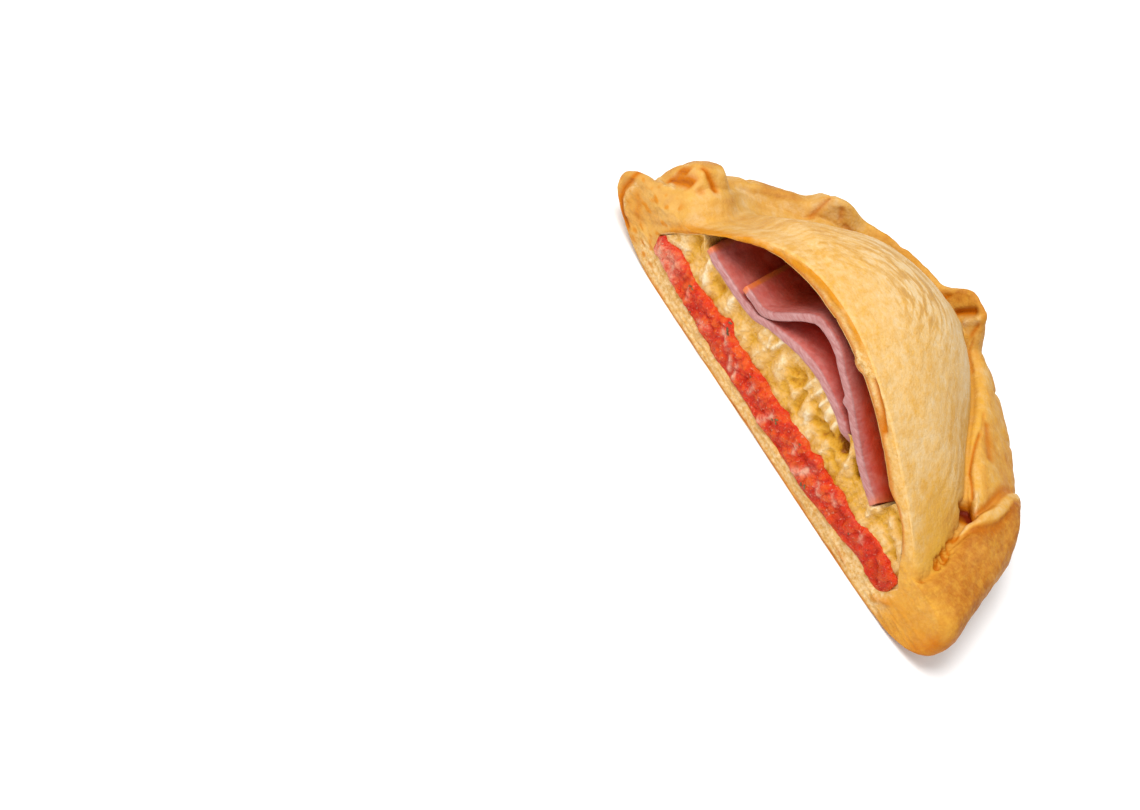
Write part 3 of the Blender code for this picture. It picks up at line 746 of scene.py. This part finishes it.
# Darker along the lid's inner lip by the cavity: painted shade.
cut_dark += 0.46 * ramp(strip_share, 0.70, 0.18) * lid_strip
CUT_LINES = (
    (0.70, 0.72, *LOBE_LINE),
    (0.45, 0.30, *TORN_STRIPS[0]),
    (0.65, 0.55, *TORN_STRIPS[1]),
    (0.35, 0.5, -7.5, 0.8, -1.7, 1.0),
    (0.4, 0.35, 34.2, 2.7, 37.6, 2.3),
)
cut_dark += sum(strokes(x, z, [line]) for line in CUT_LINES)
mottles = stroke(x, z, (-60.0, 12.8, -58.4, 11.4, -57.2, 9.1), 1.1) + stroke(x, z, BAKED_FLAKE, 0.8)
mottles *= on_strip
dark = np.where(on_strip > 0, cut_dark, dark)
dark = np.maximum(dark, 0.24 * mottles * (0.8 + 0.6 * grain(body, 0.0016, 57)))
dark = np.maximum(dark, 0.62 * stroke(x, z, LOBE_LINE, 0.8) * by_lobe)
dark = np.maximum(dark, np.maximum(0.20 * specks, 0.45 * tip))

# Where the pale crumb shows: the base's layers, the lid's cut face, torn lips and flakes.
PALE_DOUGH = (
    (0.6, 0.75, -19.4, 40.7, -14.5, 42.2, -9.8, 43.2, -5.2, 43.4, 2.4, 41.6),
    (1.3, 0.9, *CRUMB_PATCH),
    (0.5, 0.8, 12.4, 40.2, 15.5, 38.5, 18.5, 36.6, 21.6, 34.4),
    (0.5, 0.8, *PALE_LINE),
    (0.6, 0.8, 46.4, 5.8, 48.4, 7.6, 50.1, 8.9),
)
pale_dough = strokes(x, z, PALE_DOUGH)
layers = 0.5 + 0.5 * grain(body * [0.12, 1, 1.2], 0.0011, 49)
crumb = base_strip * (0.62 + 0.38 * layers) * ramp(z, 0.9, 0.5) + 0.30 * lid_strip
crumb = np.clip(0.10 + crumb + pale_dough, 0, 0.95) * on_strip * ramp(strip_share / 0.10)
crumb += all_round(0.7 * flaky) + 0.8 * stroke(x, z, PALE_LINE, 0.7) * by_lobe

# Where it is orange: bands along the lid's cut edge, both ends of the cut, specks at the left.
LOWER_BAND = (-47.6, 14.0, -46.6, 17.0, -44.4, 21.0, -40.9, 25.2, -35.9, 30.0, -31.7, 34.0, -27.8, 37.0)
BANDS = (
    (1.4, 1.3, *LOWER_BAND),
    (1.5, 1.3, -25.0, 38.6, -19.2, 41.9, -14.0, 44.7, -9.2, 45.8, -5.2, 45.7),
    (1.1, 0.85, -3.6, 45.6, -0.9, 45.5, 1.9, 45.0, 4.2, 44.2),
    (0.9, 0.45, 5.0, 43.9, 9.0, 43.4, 13.0, 43.6),
)
orange = strokes(x, z, BANDS) * on_strip
orange += 1.3 * stroke(x + 0.2 * y, z + y, LOWER_BAND, 1.4) * on_skin * ramp(y, 7, -2)
orange = np.maximum(orange * (0.9 + 0.35 * grain(body, 0.004, 45)), 0.75 * specks)
golden = 0.36 * ramp(x, -52, -5) + 0.42 * ramp(x, 50, 5) * ramp(z, 15, -3)
golden *= (0.9 + grains(body, (0.6, 0.0036, 53), (0.3, 0.0013, 54))) * ramp(y, 4, -3) * ramp(z, 13.5, -3)
golden *= (1 - inside_mask) * (1 - base_strip)
orange = np.maximum(orange, golden + 0.5 * mottles) * (1 - np.clip(pale_dough, 0, 1) * 0.8)
orange = np.maximum(orange, 0.6 * tip)

# Streaks along the lid's contours, strongest on its upper part.
streak = 0.22 + 1.60 * patch(98, 46, -29, 16) + 0.40 * patch(150, 44, -28, 26) + 0.35 * patch(34, 26, -6, 14)
streak = all_round((on_lid * streak + 0.20 * (1 - on_lid)) * from_apex)
masks = {
    "browning": browning,
    "yellow": yellow,
    "dark": dark,
    "crumb": crumb,
    "orange": orange,
    "inside": inside_mask,
    "dull": dull,
}
masks = {label: np.clip(values, 0, 1) for label, values in masks.items()}
masks["streak"] = streak
masks["along"] = all_round(along) + (1 - on_skin) * x
masks["outward"] = all_round(out) + (1 - on_skin) * z
crust = build("crust_dough", body + INTO_PART, quads(*body.shape[:2], True), crust_material, masks)
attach(crust, "root")
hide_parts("crust")


# The tomato sauce: a moist orange red layer on the base, lumpy where it is cut, with paler pulp and painted
# wet highlights, and darker spots. One closed skin, its front face pushed out by rounded lumps of two sizes
# with gaps between.


def under_lid(x, y):
    """The height of the lid's underside over a place in the cavity, found by the bearing from the apex."""
    rim = np.linspace(0, 180, 181)
    foot_x = cavity_radius(rim) * np.cos(np.radians(rim)) - APEX_X
    foot_y = cavity_radius(rim) * np.sin(np.radians(rim))
    off_x = x * MM - APEX_X
    here = np.interp(np.arctan2(y * MM, off_x), np.arctan2(foot_y, foot_x), rim)
    reach = np.interp(here, rim, np.hypot(foot_x, foot_y))
    return cavity_height(np.minimum(np.hypot(off_x, y * MM) / reach, 1), here) / MM


def half_round(x, share):
    """How deep a filling reaches where it fills this share of the cavity's width."""
    rim = np.linspace(180, 0, 181)
    wide = share * cavity_radius(rim) / MM
    return np.interp(x, wide * np.cos(np.radians(rim)), wide * np.sin(np.radians(rim)))


def clumps(points, size, seed):
    """Rounded lumps packed in space: how full the lump is at each point, and how near the gap beside it is.

    Each cube of space of this size has one random middle. The fullness is one minus the square of the way to
    the nearest middle. The gap's value is the difference between the ways to the second and to the nearest.
    """
    draw = np.random.default_rng(seed)
    middles = draw.uniform(0.12, 0.88, (256, 3))
    place = points / size + draw.uniform(0, 97, 3)
    cell = np.floor(place).astype(int)
    nearest = np.full(points.shape[:-1], 9.0)
    second = nearest.copy()
    for step in np.ndindex(3, 3, 3):
        at = cell + step - 1
        middle = middles[scatter_order(np.random.default_rng(seed + 1), at)]
        way = np.linalg.norm(at + middle - place, axis=-1)
        second = np.minimum(second, np.maximum(nearest, way))
        nearest = np.minimum(nearest, way)
    return 1 - np.minimum(nearest, 1) ** 2, second - nearest


def slab(x, low, front, top, depth, up_count, back_count):
    """Points round a filling, a ring for each place along the cut: its cut face, its top, its bottom."""
    up = np.linspace(0, 1, up_count)[:, None]
    back = np.linspace(0, 1, back_count + 1)[1:, None] ** 1.4
    deep = front + back * (depth - front)
    face = np.stack([x + 0 * up, front + 0 * (x + up), low + up * (top(x, front) - low)], -1)
    over = np.stack([x + 0 * back, deep, top(x + 0 * back, deep)], -1)
    under = np.stack([x + 0 * back, deep[::-1], low + 0 * deep], -1)
    window = np.zeros((up_count + 2 * back_count, 1))
    window[:up_count] = np.minimum(1, 7 * np.minimum(up, 1 - up) + 0.05)
    return np.concatenate([face, over, under]), window


def closed_ends(ring, *values):
    """The rings as rows, with a row at each end in which all points are one, and the values with them."""
    rows = ring.transpose(1, 0, 2)
    ends = np.repeat(rows[[0, -1]].mean(axis=1, keepdims=True), rows.shape[1], axis=1)
    rows = np.concatenate([ends[:1], rows, ends[1:]]) * MM
    return rows, *[np.pad(value.T, ((1, 1), (0, 0)), mode="edge") for value in values]


sauce_material, tree, shader, where = new_material("tomato_sauce")
pulp = noise(tree, where, 460, 4, 0.65, 0.6)
wet = noise(tree, where, 1350, 3, 0.6)
place_colour = math_of(tree, "SUBTRACT", pulp, 0.15)
place_colour = math_of(tree, "MULTIPLY_ADD", attribute(tree, "full"), 0.30, place_colour)
colour = ramp_of(
    tree,
    place_colour,
    (
        (0.28, (0.24, 0.004, 0.000)),
        (0.40, (0.44, 0.012, 0.001)),
        (0.54, (0.53, 0.026, 0.001)),
        (0.70, (0.56, 0.070, 0.005)),
    ),
)
deep_part = math_of(tree, "MULTIPLY", attribute(tree, "deep"), 0.75)
colour = mixed(tree, deep_part, colour, (0.36, 0.010, 0.000, 1))
# Pale pink patches of pulp and painted wet highlights, and small painted glints.
pale_part = math_of(tree, "MULTIPLY", attribute(tree, "pale"), stretch(tree, pulp, 0.38, 0.60, 0.1, 0.95))
pale_part = math_of(tree, "ADD", pale_part, stretch(tree, wet, 0.60, 0.70, 0, 0.50), clamp=True)
colour = mixed(tree, pale_part, colour, (0.60, 0.30, 0.20, 1))
finish(tree, shader, colour, 0.26, 0.18, wet, 0.0007)


def sauce_top(x, y):
    """The layer's upper side, with a rise wherever the cheese has left room for it."""
    rises = ((1.0, -42, 6), (2.3, -21.8, 3.6), (0.9, 9, 7), (1.8, 15.9, 3), (1.0, 25.4, 4), (2.1, 39.7, 8))
    height = 12.6 + bumps(x, *rises)
    spot = np.stack([x, y + 0 * x, 0 * x], -1)
    return np.minimum(height + 0.7 * grain(spot, 4.0, 51), under_lid(x, y) - 0.2)


x_line = np.linspace(-49.4, 49.2, 480)
side = np.where(x_line > 0, 0.0, 180.0)
bottom = floor_height(x_line, 0 * x_line, np.abs(x_line) * MM / cavity_radius(side), side) / MM - 0.4
bottom = np.minimum(bottom, sauce_top(x_line, 0.2) - 0.6)
ring, window = slab(x_line, bottom, 0.2, sauce_top, np.maximum(half_round(x_line, 0.99), 1.2), 40, 6)
full, gap_near = clumps(ring * [1, 1, 0.8], 3.6, 52)
small_full, small_gap = clumps(ring * [1, 1, 0.75], 1.7, 54)
x, z = ring[..., 0], ring[..., 2]
# Pale patches, each with its half width, strength and path: partly pale pulp, partly painted wet highlights.
PALE_PULP = (
    (1.0, 0.8, -48.2, 9.4, -47.2, 6.6), (1.1, 1.0, -46.6, 10.2, -45.4, 7.2),
    (0.9, 0.9, -44.6, 8.2, -43.0, 6.0), (1.0, 1.0, -43.2, 11.6, -41.4, 9.8),
    (0.9, 1.0, -41.2, 9.2, -39.4, 7.2), (0.6, 0.7, -34.4, 9.6, -33.6, 8.0),
    (0.7, 0.8, -27.4, 7.0, -24.4, 8.2), (0.8, 0.9, -21.4, 12.2, -18.2, 10.2),
    (0.7, 1.0, -16.2, 9.0, -14.4, 6.4), (0.6, 1.0, -13.2, 9.2, -12.2, 6.2),
    (0.6, 1.0, -7.0, 10.4, -6.8, 7.4), (0.8, 1.0, 1.2, 10.0, -0.4, 5.6), (0.5, 0.9, 10.0, 10.8, 11.0, 8.8),
    (0.9, 1.0, 16.8, 11.2, 15.4, 7.4, 13.0, 4.6), (0.8, 1.0, 20.4, 9.8, 21.8, 8.0),
    (0.7, 0.9, 24.4, 12.0, 26.4, 10.8), (0.7, 0.8, 27.0, 13.2, 32.6, 12.8),
    (0.6, 0.8, 35.8, 12.2, 37.0, 11.0),
)
DARK_PULP = (
    (0.9, 1.0, -37.4, 9.8, -36.2, 12.6), (0.8, 0.7, -24.6, 12.4, -23.4, 11.8),
    (0.8, 0.7, 13.4, 10.6, 13.8, 7.0), (1.1, 1.0, 28.8, 9.6, 30.2, 6.0), (0.9, 0.7, 40.2, 9.2, 41.0, 7.8),
    (1.2, 1.0, 43.2, 9.8, 45.2, 7.4),
)
pale, deep = strokes(x, z, PALE_PULP), strokes(x, z, DARK_PULP)
pale = np.maximum(pale, (0.6 + 0.5 * grain(ring, 2.0, 57)) * ramp(x, -39.5, -2.5))
bulge = 1.35 * full + 0.65 * small_full + 0.18 * grain(ring, 0.9, 55) + 0.25 * pale - 0.7 * deep
window = window * ramp(np.abs(x_line), 48.9, -0.9)
ring[..., 1] -= (bulge - 0.5) * window
deep = np.maximum(deep, (0.55 + 0.6 * grain(ring, 3.0, 56)) * ramp(x, 28, 6))
# Darker in the gaps between the lumps: painted shade.
gaps = 0.7 * ramp(gap_near, 0.10, -0.09) + 0.35 * ramp(small_gap, 0.08, -0.08)
deep = np.clip(np.maximum(deep, gaps), 0, 1)
full = np.clip(0.6 * full + 0.5 * small_full, 0, 1)
ring, pale, deep, full = closed_ends(ring, pale * window, deep * window, full)
sauce_values = {"pale": pale, "deep": deep, "full": full}
sauce_points = (ring + INTO_PART).reshape(-1, 3)
sauce = build("sauce_layer", ring + INTO_PART, quads(*ring.shape[:2], True), sauce_material, sauce_values)
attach(sauce, "root")
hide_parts("tomato_sauce")


# The melted cheese: a pale crumbly heap on the sauce, higher at the right end. One closed skin. Its cut face
# is built of rounded lumps and upright shreds, with yellow hollows and two holes between them. The holes and
# the gaps between the lumps are painted darker: painted shade.

HAM_THICKNESS = 2.1


def ham_upper_line(x):
    """The upper slice rises steeply over the fold, and then falls slowly to its right end."""
    return 24.2 + 13.4 * ramp(x, -12.2, 7.0) - 19.2 * ramp(x, 16.4, 22) + 0.5 * hump(x, 0, 6)


def ham_lower_line(x):
    """The lower slice bends up under the fold, and lies close under the upper slice at the right."""
    own = 21.2 + 7.0 * hump(x, 1.5, 26) + 1.8 * hump(x, -39.5, 5)
    below = ham_upper_line(x) - HAM_THICKNESS - 0.3
    return 0.5 * (own + below - np.sqrt((own - below) ** 2 + 0.6))


def ham_middles(x, y):
    """The middles of both slices: their lines along the cut, sagging with the square of the depth."""
    sag = 1 - 0.45 * (y / 38) ** 2
    roof = under_lid(x, y) - 0.7
    lower = np.minimum(21 + (ham_lower_line(x) - 21) * sag, roof - 2 * HAM_THICKNESS)
    upper = np.maximum(21 + (ham_upper_line(x) - 21) * sag, lower + HAM_THICKNESS + 0.2)
    return lower, np.minimum(upper, roof - 0.5 * HAM_THICKNESS)


cheese_material, tree, shader, where = new_material("melted_cheese")
cloud = noise(tree, where, 330, 4, 0.6, 0.5)
fine = noise(tree, where, 1250, 3, 0.6)
value = varied(tree, varied(tree, attribute(tree, "pale"), cloud, 0.16), fine, 0.09, clamp=True)
colour = ramp_of(
    tree,
    value,
    (
        (0.0, (0.21, 0.060, 0.001)),
        (0.2, (0.45, 0.200, 0.003)),
        (0.4, (0.52, 0.265, 0.022)),
        (0.6, (0.56, 0.310, 0.076)),
        (0.8, (0.60, 0.395, 0.165)),
        (1.0, (0.66, 0.530, 0.330)),
    ),
)
finish(tree, shader, colour, 0.40, 0.20, fine, 0.0005)


def cheese_top(x, y):
    """The heap under the ham, and the loose cheese beside it, under the lid."""
    loose = 20.0 + 6.2 * ramp(x, 34.9, 1.0) + 3.6 * hump(x, -42.5, 5)
    under_ham = ramp(x, -38.6, 0.6) * ramp(x, 32.6, -0.8)
    lower, upper = ham_middles(x, y)
    ham = lower + (upper - lower) * ramp(x, 16.5, 2) * ramp(y, 2.6, -0.6)
    height = loose + under_ham * (ham - 0.5 * HAM_THICKNESS + 0.4 - loose)
    return np.minimum(height, under_lid(x, y) - 0.1)


x_line = np.linspace(-48.9, 50.4, 520)
ring, window = slab(x_line, 9.8, 0.5, cheese_top, np.maximum(half_round(x_line, 0.98), 2.0), 64, 8)
full, gap_near = clumps(ring * [1, 1, 0.75], 4.4, 61)
small_full, small_gap = clumps(ring * [1.1, 1, 0.7], 2.0, 63)
threads = grain(ring * [1, 1, 0.28], 0.8, 65)
x, z = ring[..., 0], ring[..., 2]
HOLLOWS = (
    (1.2, 0.75, -42.4, 20.4, -40.4, 18.2), (1.3, 0.8, -31.8, 20.4, -31.2, 17.6, -29.6, 17.2),
    (0.8, 0.35, -27.2, 20.6, -27.0, 16.8), (1.3, 0.4, -16.6, 18.4, -15.0, 17.2),
    (1.3, 0.85, -3.4, 21.2, -0.4, 23.2, 0.2, 21.4, -1.8, 19.7), (1.0, 0.75, 2.2, 20.8, 3.4, 16.0),
    (1.4, 0.45, -2.4, 17.6, 0.6, 16.0), (0.9, 0.6, 5.6, 21.6, 8.6, 21.4),
    (1.2, 0.85, 8.8, 18.6, 10.2, 19.8, 13.6, 20.0, 12.3, 18.5), (0.9, 0.5, 16.7, 17.5, 20.0, 16.4),
    (1.3, 0.7, 35.6, 22.6, 37.8, 23.2, 40.6, 21.6), (1.1, 0.75, 41.2, 17.6, 43.9, 15.2),
)
HOLES = (
    (1.35, 1.0, 15.6, 23.4, 18.2, 20.9), (0.75, 0.8, 22.0, 22.3, 24.6, 20.1),
)
SHREDS = (
    (1.2, 0.5, -46.0, 13.6, -42.0, 15.6), (0.9, 0.8, -36.0, 19.4, -34.4, 16.8, -33.4, 14.4),
    (0.8, 0.6, -25.6, 20.2, -24.8, 15.8), (0.6, 0.9, -12.4, 22.8, -11.4, 20.0),
    (0.6, 0.9, -9.6, 24.6, -10.4, 20.6), (1.2, 0.4, -6.4, 21.0, -5.4, 17.0),
    (0.6, 1.0, 2.1, 26.6, 1.8, 21.9), (0.6, 1.0, 5.0, 27.1, 4.4, 22.5), (0.5, 0.8, 7.4, 26.4, 7.2, 22.6),
    (0.9, 1.0, 9.5, 26.7, 10.6, 22.3), (0.8, 0.8, 12.8, 24.8, 12.8, 21.6), (1.0, 0.6, 6.0, 19.4, 7.6, 16.0),
    (0.8, 0.8, 20.2, 22.6, 21.4, 19.8), (0.9, 0.5, 14.0, 18.4, 15.4, 15.6),
    (0.8, 0.8, 32.4, 20.6, 32.8, 16.2), (0.6, 0.8, 34.0, 24.6, 33.6, 20.2),
    (1.0, 0.5, 36.6, 21.6, 38.6, 20.4), (0.9, 0.9, 41.6, 23.6, 44.3, 20.3, 47.3, 17.5, 49.4, 14.6),
)
hollow, hole, shred = strokes(x, z, HOLLOWS), strokes(x, z, HOLES), strokes(x, z, SHREDS)
window = window * ramp(np.abs(x_line - 0.8), 48.2, -0.9)
bulge = 1.3 * full + 0.40 * small_full + 0.16 * threads + 0.35 * grain(ring * [1, 1, 0.6], 2.4, 66)
ring[..., 1] += (1.4 - bulge - 0.7 * shred + 1.2 * hollow + 2.8 * hole) * window
# The holes are painted dark: painted shade.
pale = 0.50 + 0.16 * full + 0.08 * small_full + 0.10 * threads + 0.38 * shred - 0.48 * hollow - 0.80 * hole
pale += 0.10 * grain(ring * [1, 1, 0.6], 2.4, 66)
# Darker in the gaps between the lumps: painted shade.
pale -= 0.08 * ramp(gap_near, 0.10, -0.10) + 0.03 * ramp(small_gap, 0.08, -0.08)
# Darker by the left end, where the cheese meets the cavity, as painted shade, and darker from 14 to 35 mm
# along the cut.
pale = pale - 0.10 * ramp(x, -42, 4) * ramp(x, -39, -2) - 0.14 * ramp(x, 14, 3) * ramp(x, 35, -3)
ring, pale = closed_ends(ring, np.clip(pale, 0, 1))
cheese = build("cheese_heap", ring + INTO_PART, quads(*ring.shape[:2], True), cheese_material, {"pale": pale})
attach(cheese, "root")
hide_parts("cheese")


# The ham: two thin moist slices, the lower over the cheese and the upper folded over it. Each is a closed
# sheet with a rounded, paler cut edge, its left end browned, its right end tinted orange-brown, and slight
# waves. Their faces are painted paler near the cut and deeper red further in: painted light and shade.

ham_material, tree, shader, where = new_material("cooked_ham")
mottle = noise(tree, where, 330, 4, 0.6)
upright = shade(tree, "Mapping", {"Vector": where, "Scale": (0.5, 0.5, 2.4)}).outputs[0]
fibre = noise(tree, upright, 950, 3, 0.6)
face_stops = ((0.34, (0.62, 0.042, 0.010)), (0.5, (0.67, 0.064, 0.020)), (0.66, (0.68, 0.100, 0.048)))
edge_stops = ((0.34, (0.325, 0.115, 0.105)), (0.5, (0.355, 0.155, 0.145)), (0.66, (0.41, 0.205, 0.195)))
face, edge = ramp_of(tree, mottle, face_stops), ramp_of(tree, fibre, edge_stops)
colour = mixed(tree, attribute(tree, "edge"), face, edge)
colour = mixed(tree, attribute(tree, "rind"), colour, (0.58, 0.130, 0.020, 1))
finish(tree, shader, colour, 0.34, 0.22, mottle, 0.0003)


def ham_slice(name, node, line, which, left, right, end_depth, depth, leans, tab, set_back, rinds, seed):
    """A closed sheet on a middle surface: its upper side, its round cut edge, its lower side and its back."""
    x = np.linspace(left, right, 260)[:, None]
    across = np.abs(2 * (x - left) / (right - left) - 1)
    lean = leans[0] * np.clip((10 - x) / 36, 0, 1) - leans[1] * np.clip((x - 10) / 22, 0, 1)
    reach = end_depth + (depth - end_depth) * np.sqrt(np.clip(1 - across**3, 0, 1))
    deep = np.linspace(0, 50, 101)
    free = under_lid(x - lean * deep, deep) > line(x) + 2 * HAM_THICKNESS
    reach = np.minimum(reach, deep[np.maximum(free.sum(axis=1) - 1, 0)][:, None])
    front = 1.0 + set_back * ramp(x, 17.5, 2.5)
    y = front + np.linspace(0, 1, 34) ** 1.4 * (reach - front)
    gx = x - lean * y
    step = 0.4
    rise = (ham_middles(gx + step, y)[which] - ham_middles(gx - step, y)[which]) / (2 * step)
    fall = (ham_middles(gx, y + step)[which] - ham_middles(gx, y - step)[which]) / (2 * step)
    normal = np.stack([-rise, -fall, 1 + 0 * rise], -1) / np.sqrt(1 + rise**2 + fall**2)[..., None]
    centre = np.stack([gx, y, ham_middles(gx, y)[which]], -1)
    centre = centre + normal * (0.16 * grain(centre, 7.0, seed))[..., None]
    half = HAM_THICKNESS / 2 * (1 + 0.10 * grain(centre, 3.5, seed + 1))[..., None]
    torn = 1 + tab * hump(gx, 11.5, 1.5)[..., None] * hump(y, 1, 2.5)[..., None]
    upper, lower = centre + normal * half, centre - normal * half * torn
    swing = np.linspace(math.pi / 2, -math.pi / 2, 13)[1:-1]
    edge_normal = normal[:, :1] * [1.0, 0.0, 1.0]
    edge_normal = edge_normal / np.linalg.norm(edge_normal, axis=-1, keepdims=True)
    squared = (np.sign(np.sin(swing)) * np.abs(np.sin(swing)) ** 0.6)[None, :, None]
    nose = centre[:, :1] + edge_normal * half[:, :1] * np.where(squared < 0, squared * torn[:, :1], squared)
    nose[..., 1] -= 0.9 * np.abs(np.cos(swing)) ** 0.6 + 0.14 * grain(nose, 1.6, seed + 2)
    ring = np.concatenate([lower[:, ::-1], nose[:, ::-1], upper], axis=1)
    # The faces are painted paler near the cut, more on the upper side and furthest in at the left, and deeper
    # red further in under the lid: painted light and shade.
    fade = 5.0 + 3.5 * ramp(gx, -3, -8) - 2.6 * ramp(gx, 8, 8)
    paler = bell(y, front, fade)
    edge = np.concatenate([0.5 * paler[:, ::-1], 1 + 0 * nose[..., 0], 0.65 * paler], axis=1)
    from_left, from_right = x - left + 0 * edge, right - x + 0 * edge
    rind = rinds[0] * ramp(from_left, 1.2, -0.4) * (0.8 + 0.5 * grain(ring, 1.4, seed + 3))
    # The right end is tinted the same orange-brown as the rind.
    rind += 0.5 * bell(from_right, 0, rinds[1])
    caps = 0.5 * (ring[[0, -1]] + ring[[0, -1]][:, ::-1])
    ring = np.concatenate([caps[:1], ring, caps[1:]]) * MM
    values = {"edge": edge, "rind": rind}
    values = {label: np.pad(value, ((1, 1), (0, 0)), mode="edge") for label, value in values.items()}
    piece = build(name, ring + INTO_PART, quads(*ring.shape[:2], True), ham_material, values)
    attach(piece, "root")
    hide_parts(node)


lower = (ham_lower_line, 0, -37.8, 29.5, 10, 36, (0.1, 0.0), 0.0, 2.8, (0.75, 1.0), 71)
upper = (ham_upper_line, 1, -24.9, 32.0, 18, 33, (0.15, 0.2), 1.1, 0.0, (1.0, 1.6), 81)
ham_slice("ham_slice_lower", "ham_lower", *lower)
ham_slice("ham_slice_upper", "ham_upper", *upper)


# Dried herbs: small dark flakes stuck in the cut face of the sauce. Each is a flattened ball, turned its own
# way, and all are one mesh. Each flake has its x and z in mm and its length.

herb_material, tree, shader, where = new_material("dried_herbs")
speckle = noise(tree, where, 1500, 2, 0.6)
herb_stops = ((0.35, (0.045, 0.026, 0.005)), (0.65, (0.15, 0.085, 0.02)))
tree.links.new(ramp_of(tree, speckle, herb_stops), shader.inputs["Base Color"])
shader.inputs["Roughness"].default_value = 0.7

FLAKES = (
    (-22.0, 15.6, 0.9), (-20.3, 15.0, 1.1), (-19.2, 13.9, 0.9), (-35.2, 11.2, 0.8), (-34.2, 12.2, 0.6),
    (2.8, 10.8, 0.9), (3.6, 9.8, 0.8), (2.2, 9.6, 0.6), (17.2, 5.6, 0.8), (18.4, 6.2, 1.0), (18.0, 5.2, 0.6),
    (-9.4, 11.4, 0.5), (10.4, 12.6, 0.6), (33.8, 9.0, 0.5), (-30.2, 7.0, 0.5),
)
draw = np.random.default_rng(91)
polar = np.linspace(0, math.pi, 8)[:, None]
turned = np.linspace(0, 2 * math.pi, 12, endpoint=False)[None, :]
ball = [np.sin(polar) * np.cos(turned), np.sin(polar) * np.sin(turned), np.cos(polar) + 0 * turned]
ball = np.stack(ball, -1)
points, faces = [], []
for flake_x, flake_z, long in FLAKES:
    spot = np.array([flake_x, -2.5, flake_z]) * MM + INTO_PART
    spot = sauce_points[np.argmin(np.linalg.norm(sauce_points - spot, axis=1))]
    turn = Matrix.Rotation(draw.uniform(-0.9, 0.9), 3, "Y")
    turn = np.array(turn @ Matrix.Rotation(draw.uniform(-0.5, 0.5), 3, "Z"))
    faces.append(quads(8, 12, True) + 96 * len(faces))
    points.append((ball.reshape(-1, 3) * [0.62 * long, 0.22, 0.30 * long]) @ turn.T * MM + spot)
herbs = build("herb_flakes", np.concatenate(points), np.concatenate(faces), herb_material)
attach(herbs, "root")


# The camera looks down at the cut face, rolled to the right, so that the cut runs down across the picture.
# No depth of field.

camera_data = bpy.data.cameras.new("view")
camera_data.lens = 87.63
camera_data.sensor_width = 36.0
camera = bpy.data.objects.new("view", camera_data)
bpy.context.scene.collection.objects.link(camera)
eye = Vector((0.14112, -0.46992, 0.44993))
ahead = (Vector((-0.04928, -0.00798, -0.07633)) - eye).normalized()
level_up = (Vector((0, 0, 1)) - ahead * ahead.z).normalized()
level_right = ahead.cross(level_up)
roll = math.radians(-40.53)
camera_up = level_up * math.cos(roll) + level_right * math.sin(roll)
camera_right = ahead.cross(camera_up)
turned = Matrix((camera_right, camera_up, -ahead)).transposed().to_4x4()
camera.matrix_world = Matrix.Translation(eye) @ turned
bpy.context.scene.camera = camera


# The stage: a plain white floor, a pale even surround, and large soft lights above and beside the camera.

floor_material, tree, shader, where = new_material("white_floor")
shader.inputs["Base Color"].default_value = (0.90, 0.90, 0.90, 1)
shader.inputs["Roughness"].default_value = 0.9
floor_mesh = bpy.data.meshes.new("floor")
floor_mesh.from_pydata([(-3, -3, 0), (3, -3, 0), (3, 3, 0), (-3, 3, 0)], [], [(0, 1, 2, 3)])
floor_mesh.materials.append(floor_material)
floor = bpy.data.objects.new("floor", floor_mesh)
bpy.context.scene.collection.objects.link(floor)

world = bpy.data.worlds.new("surround")
world.use_nodes = True
world.node_tree.nodes["Background"].inputs["Color"].default_value = (1, 1, 1, 1)
world.node_tree.nodes["Background"].inputs["Strength"].default_value = 0.75
bpy.context.scene.world = world
bpy.context.scene.view_settings.view_transform = "Standard"


def soft_light(name, place, target, size, power):
    """A square area light that faces its target."""
    data = bpy.data.lights.new(name, "AREA")
    data.size = size
    data.energy = power
    lamp = bpy.data.objects.new(name, data)
    bpy.context.scene.collection.objects.link(lamp)
    lamp.location = place
    lamp.rotation_euler = (Vector(target) - Vector(place)).to_track_quat("-Z", "Y").to_euler()


soft_light("key", (-0.18, -0.36, 0.76), (0, 0, 0.01), 0.45, 7.9)
soft_light("fill", (0.55, -0.75, 0.40), (0, 0, 0.02), 0.6, 1.3)
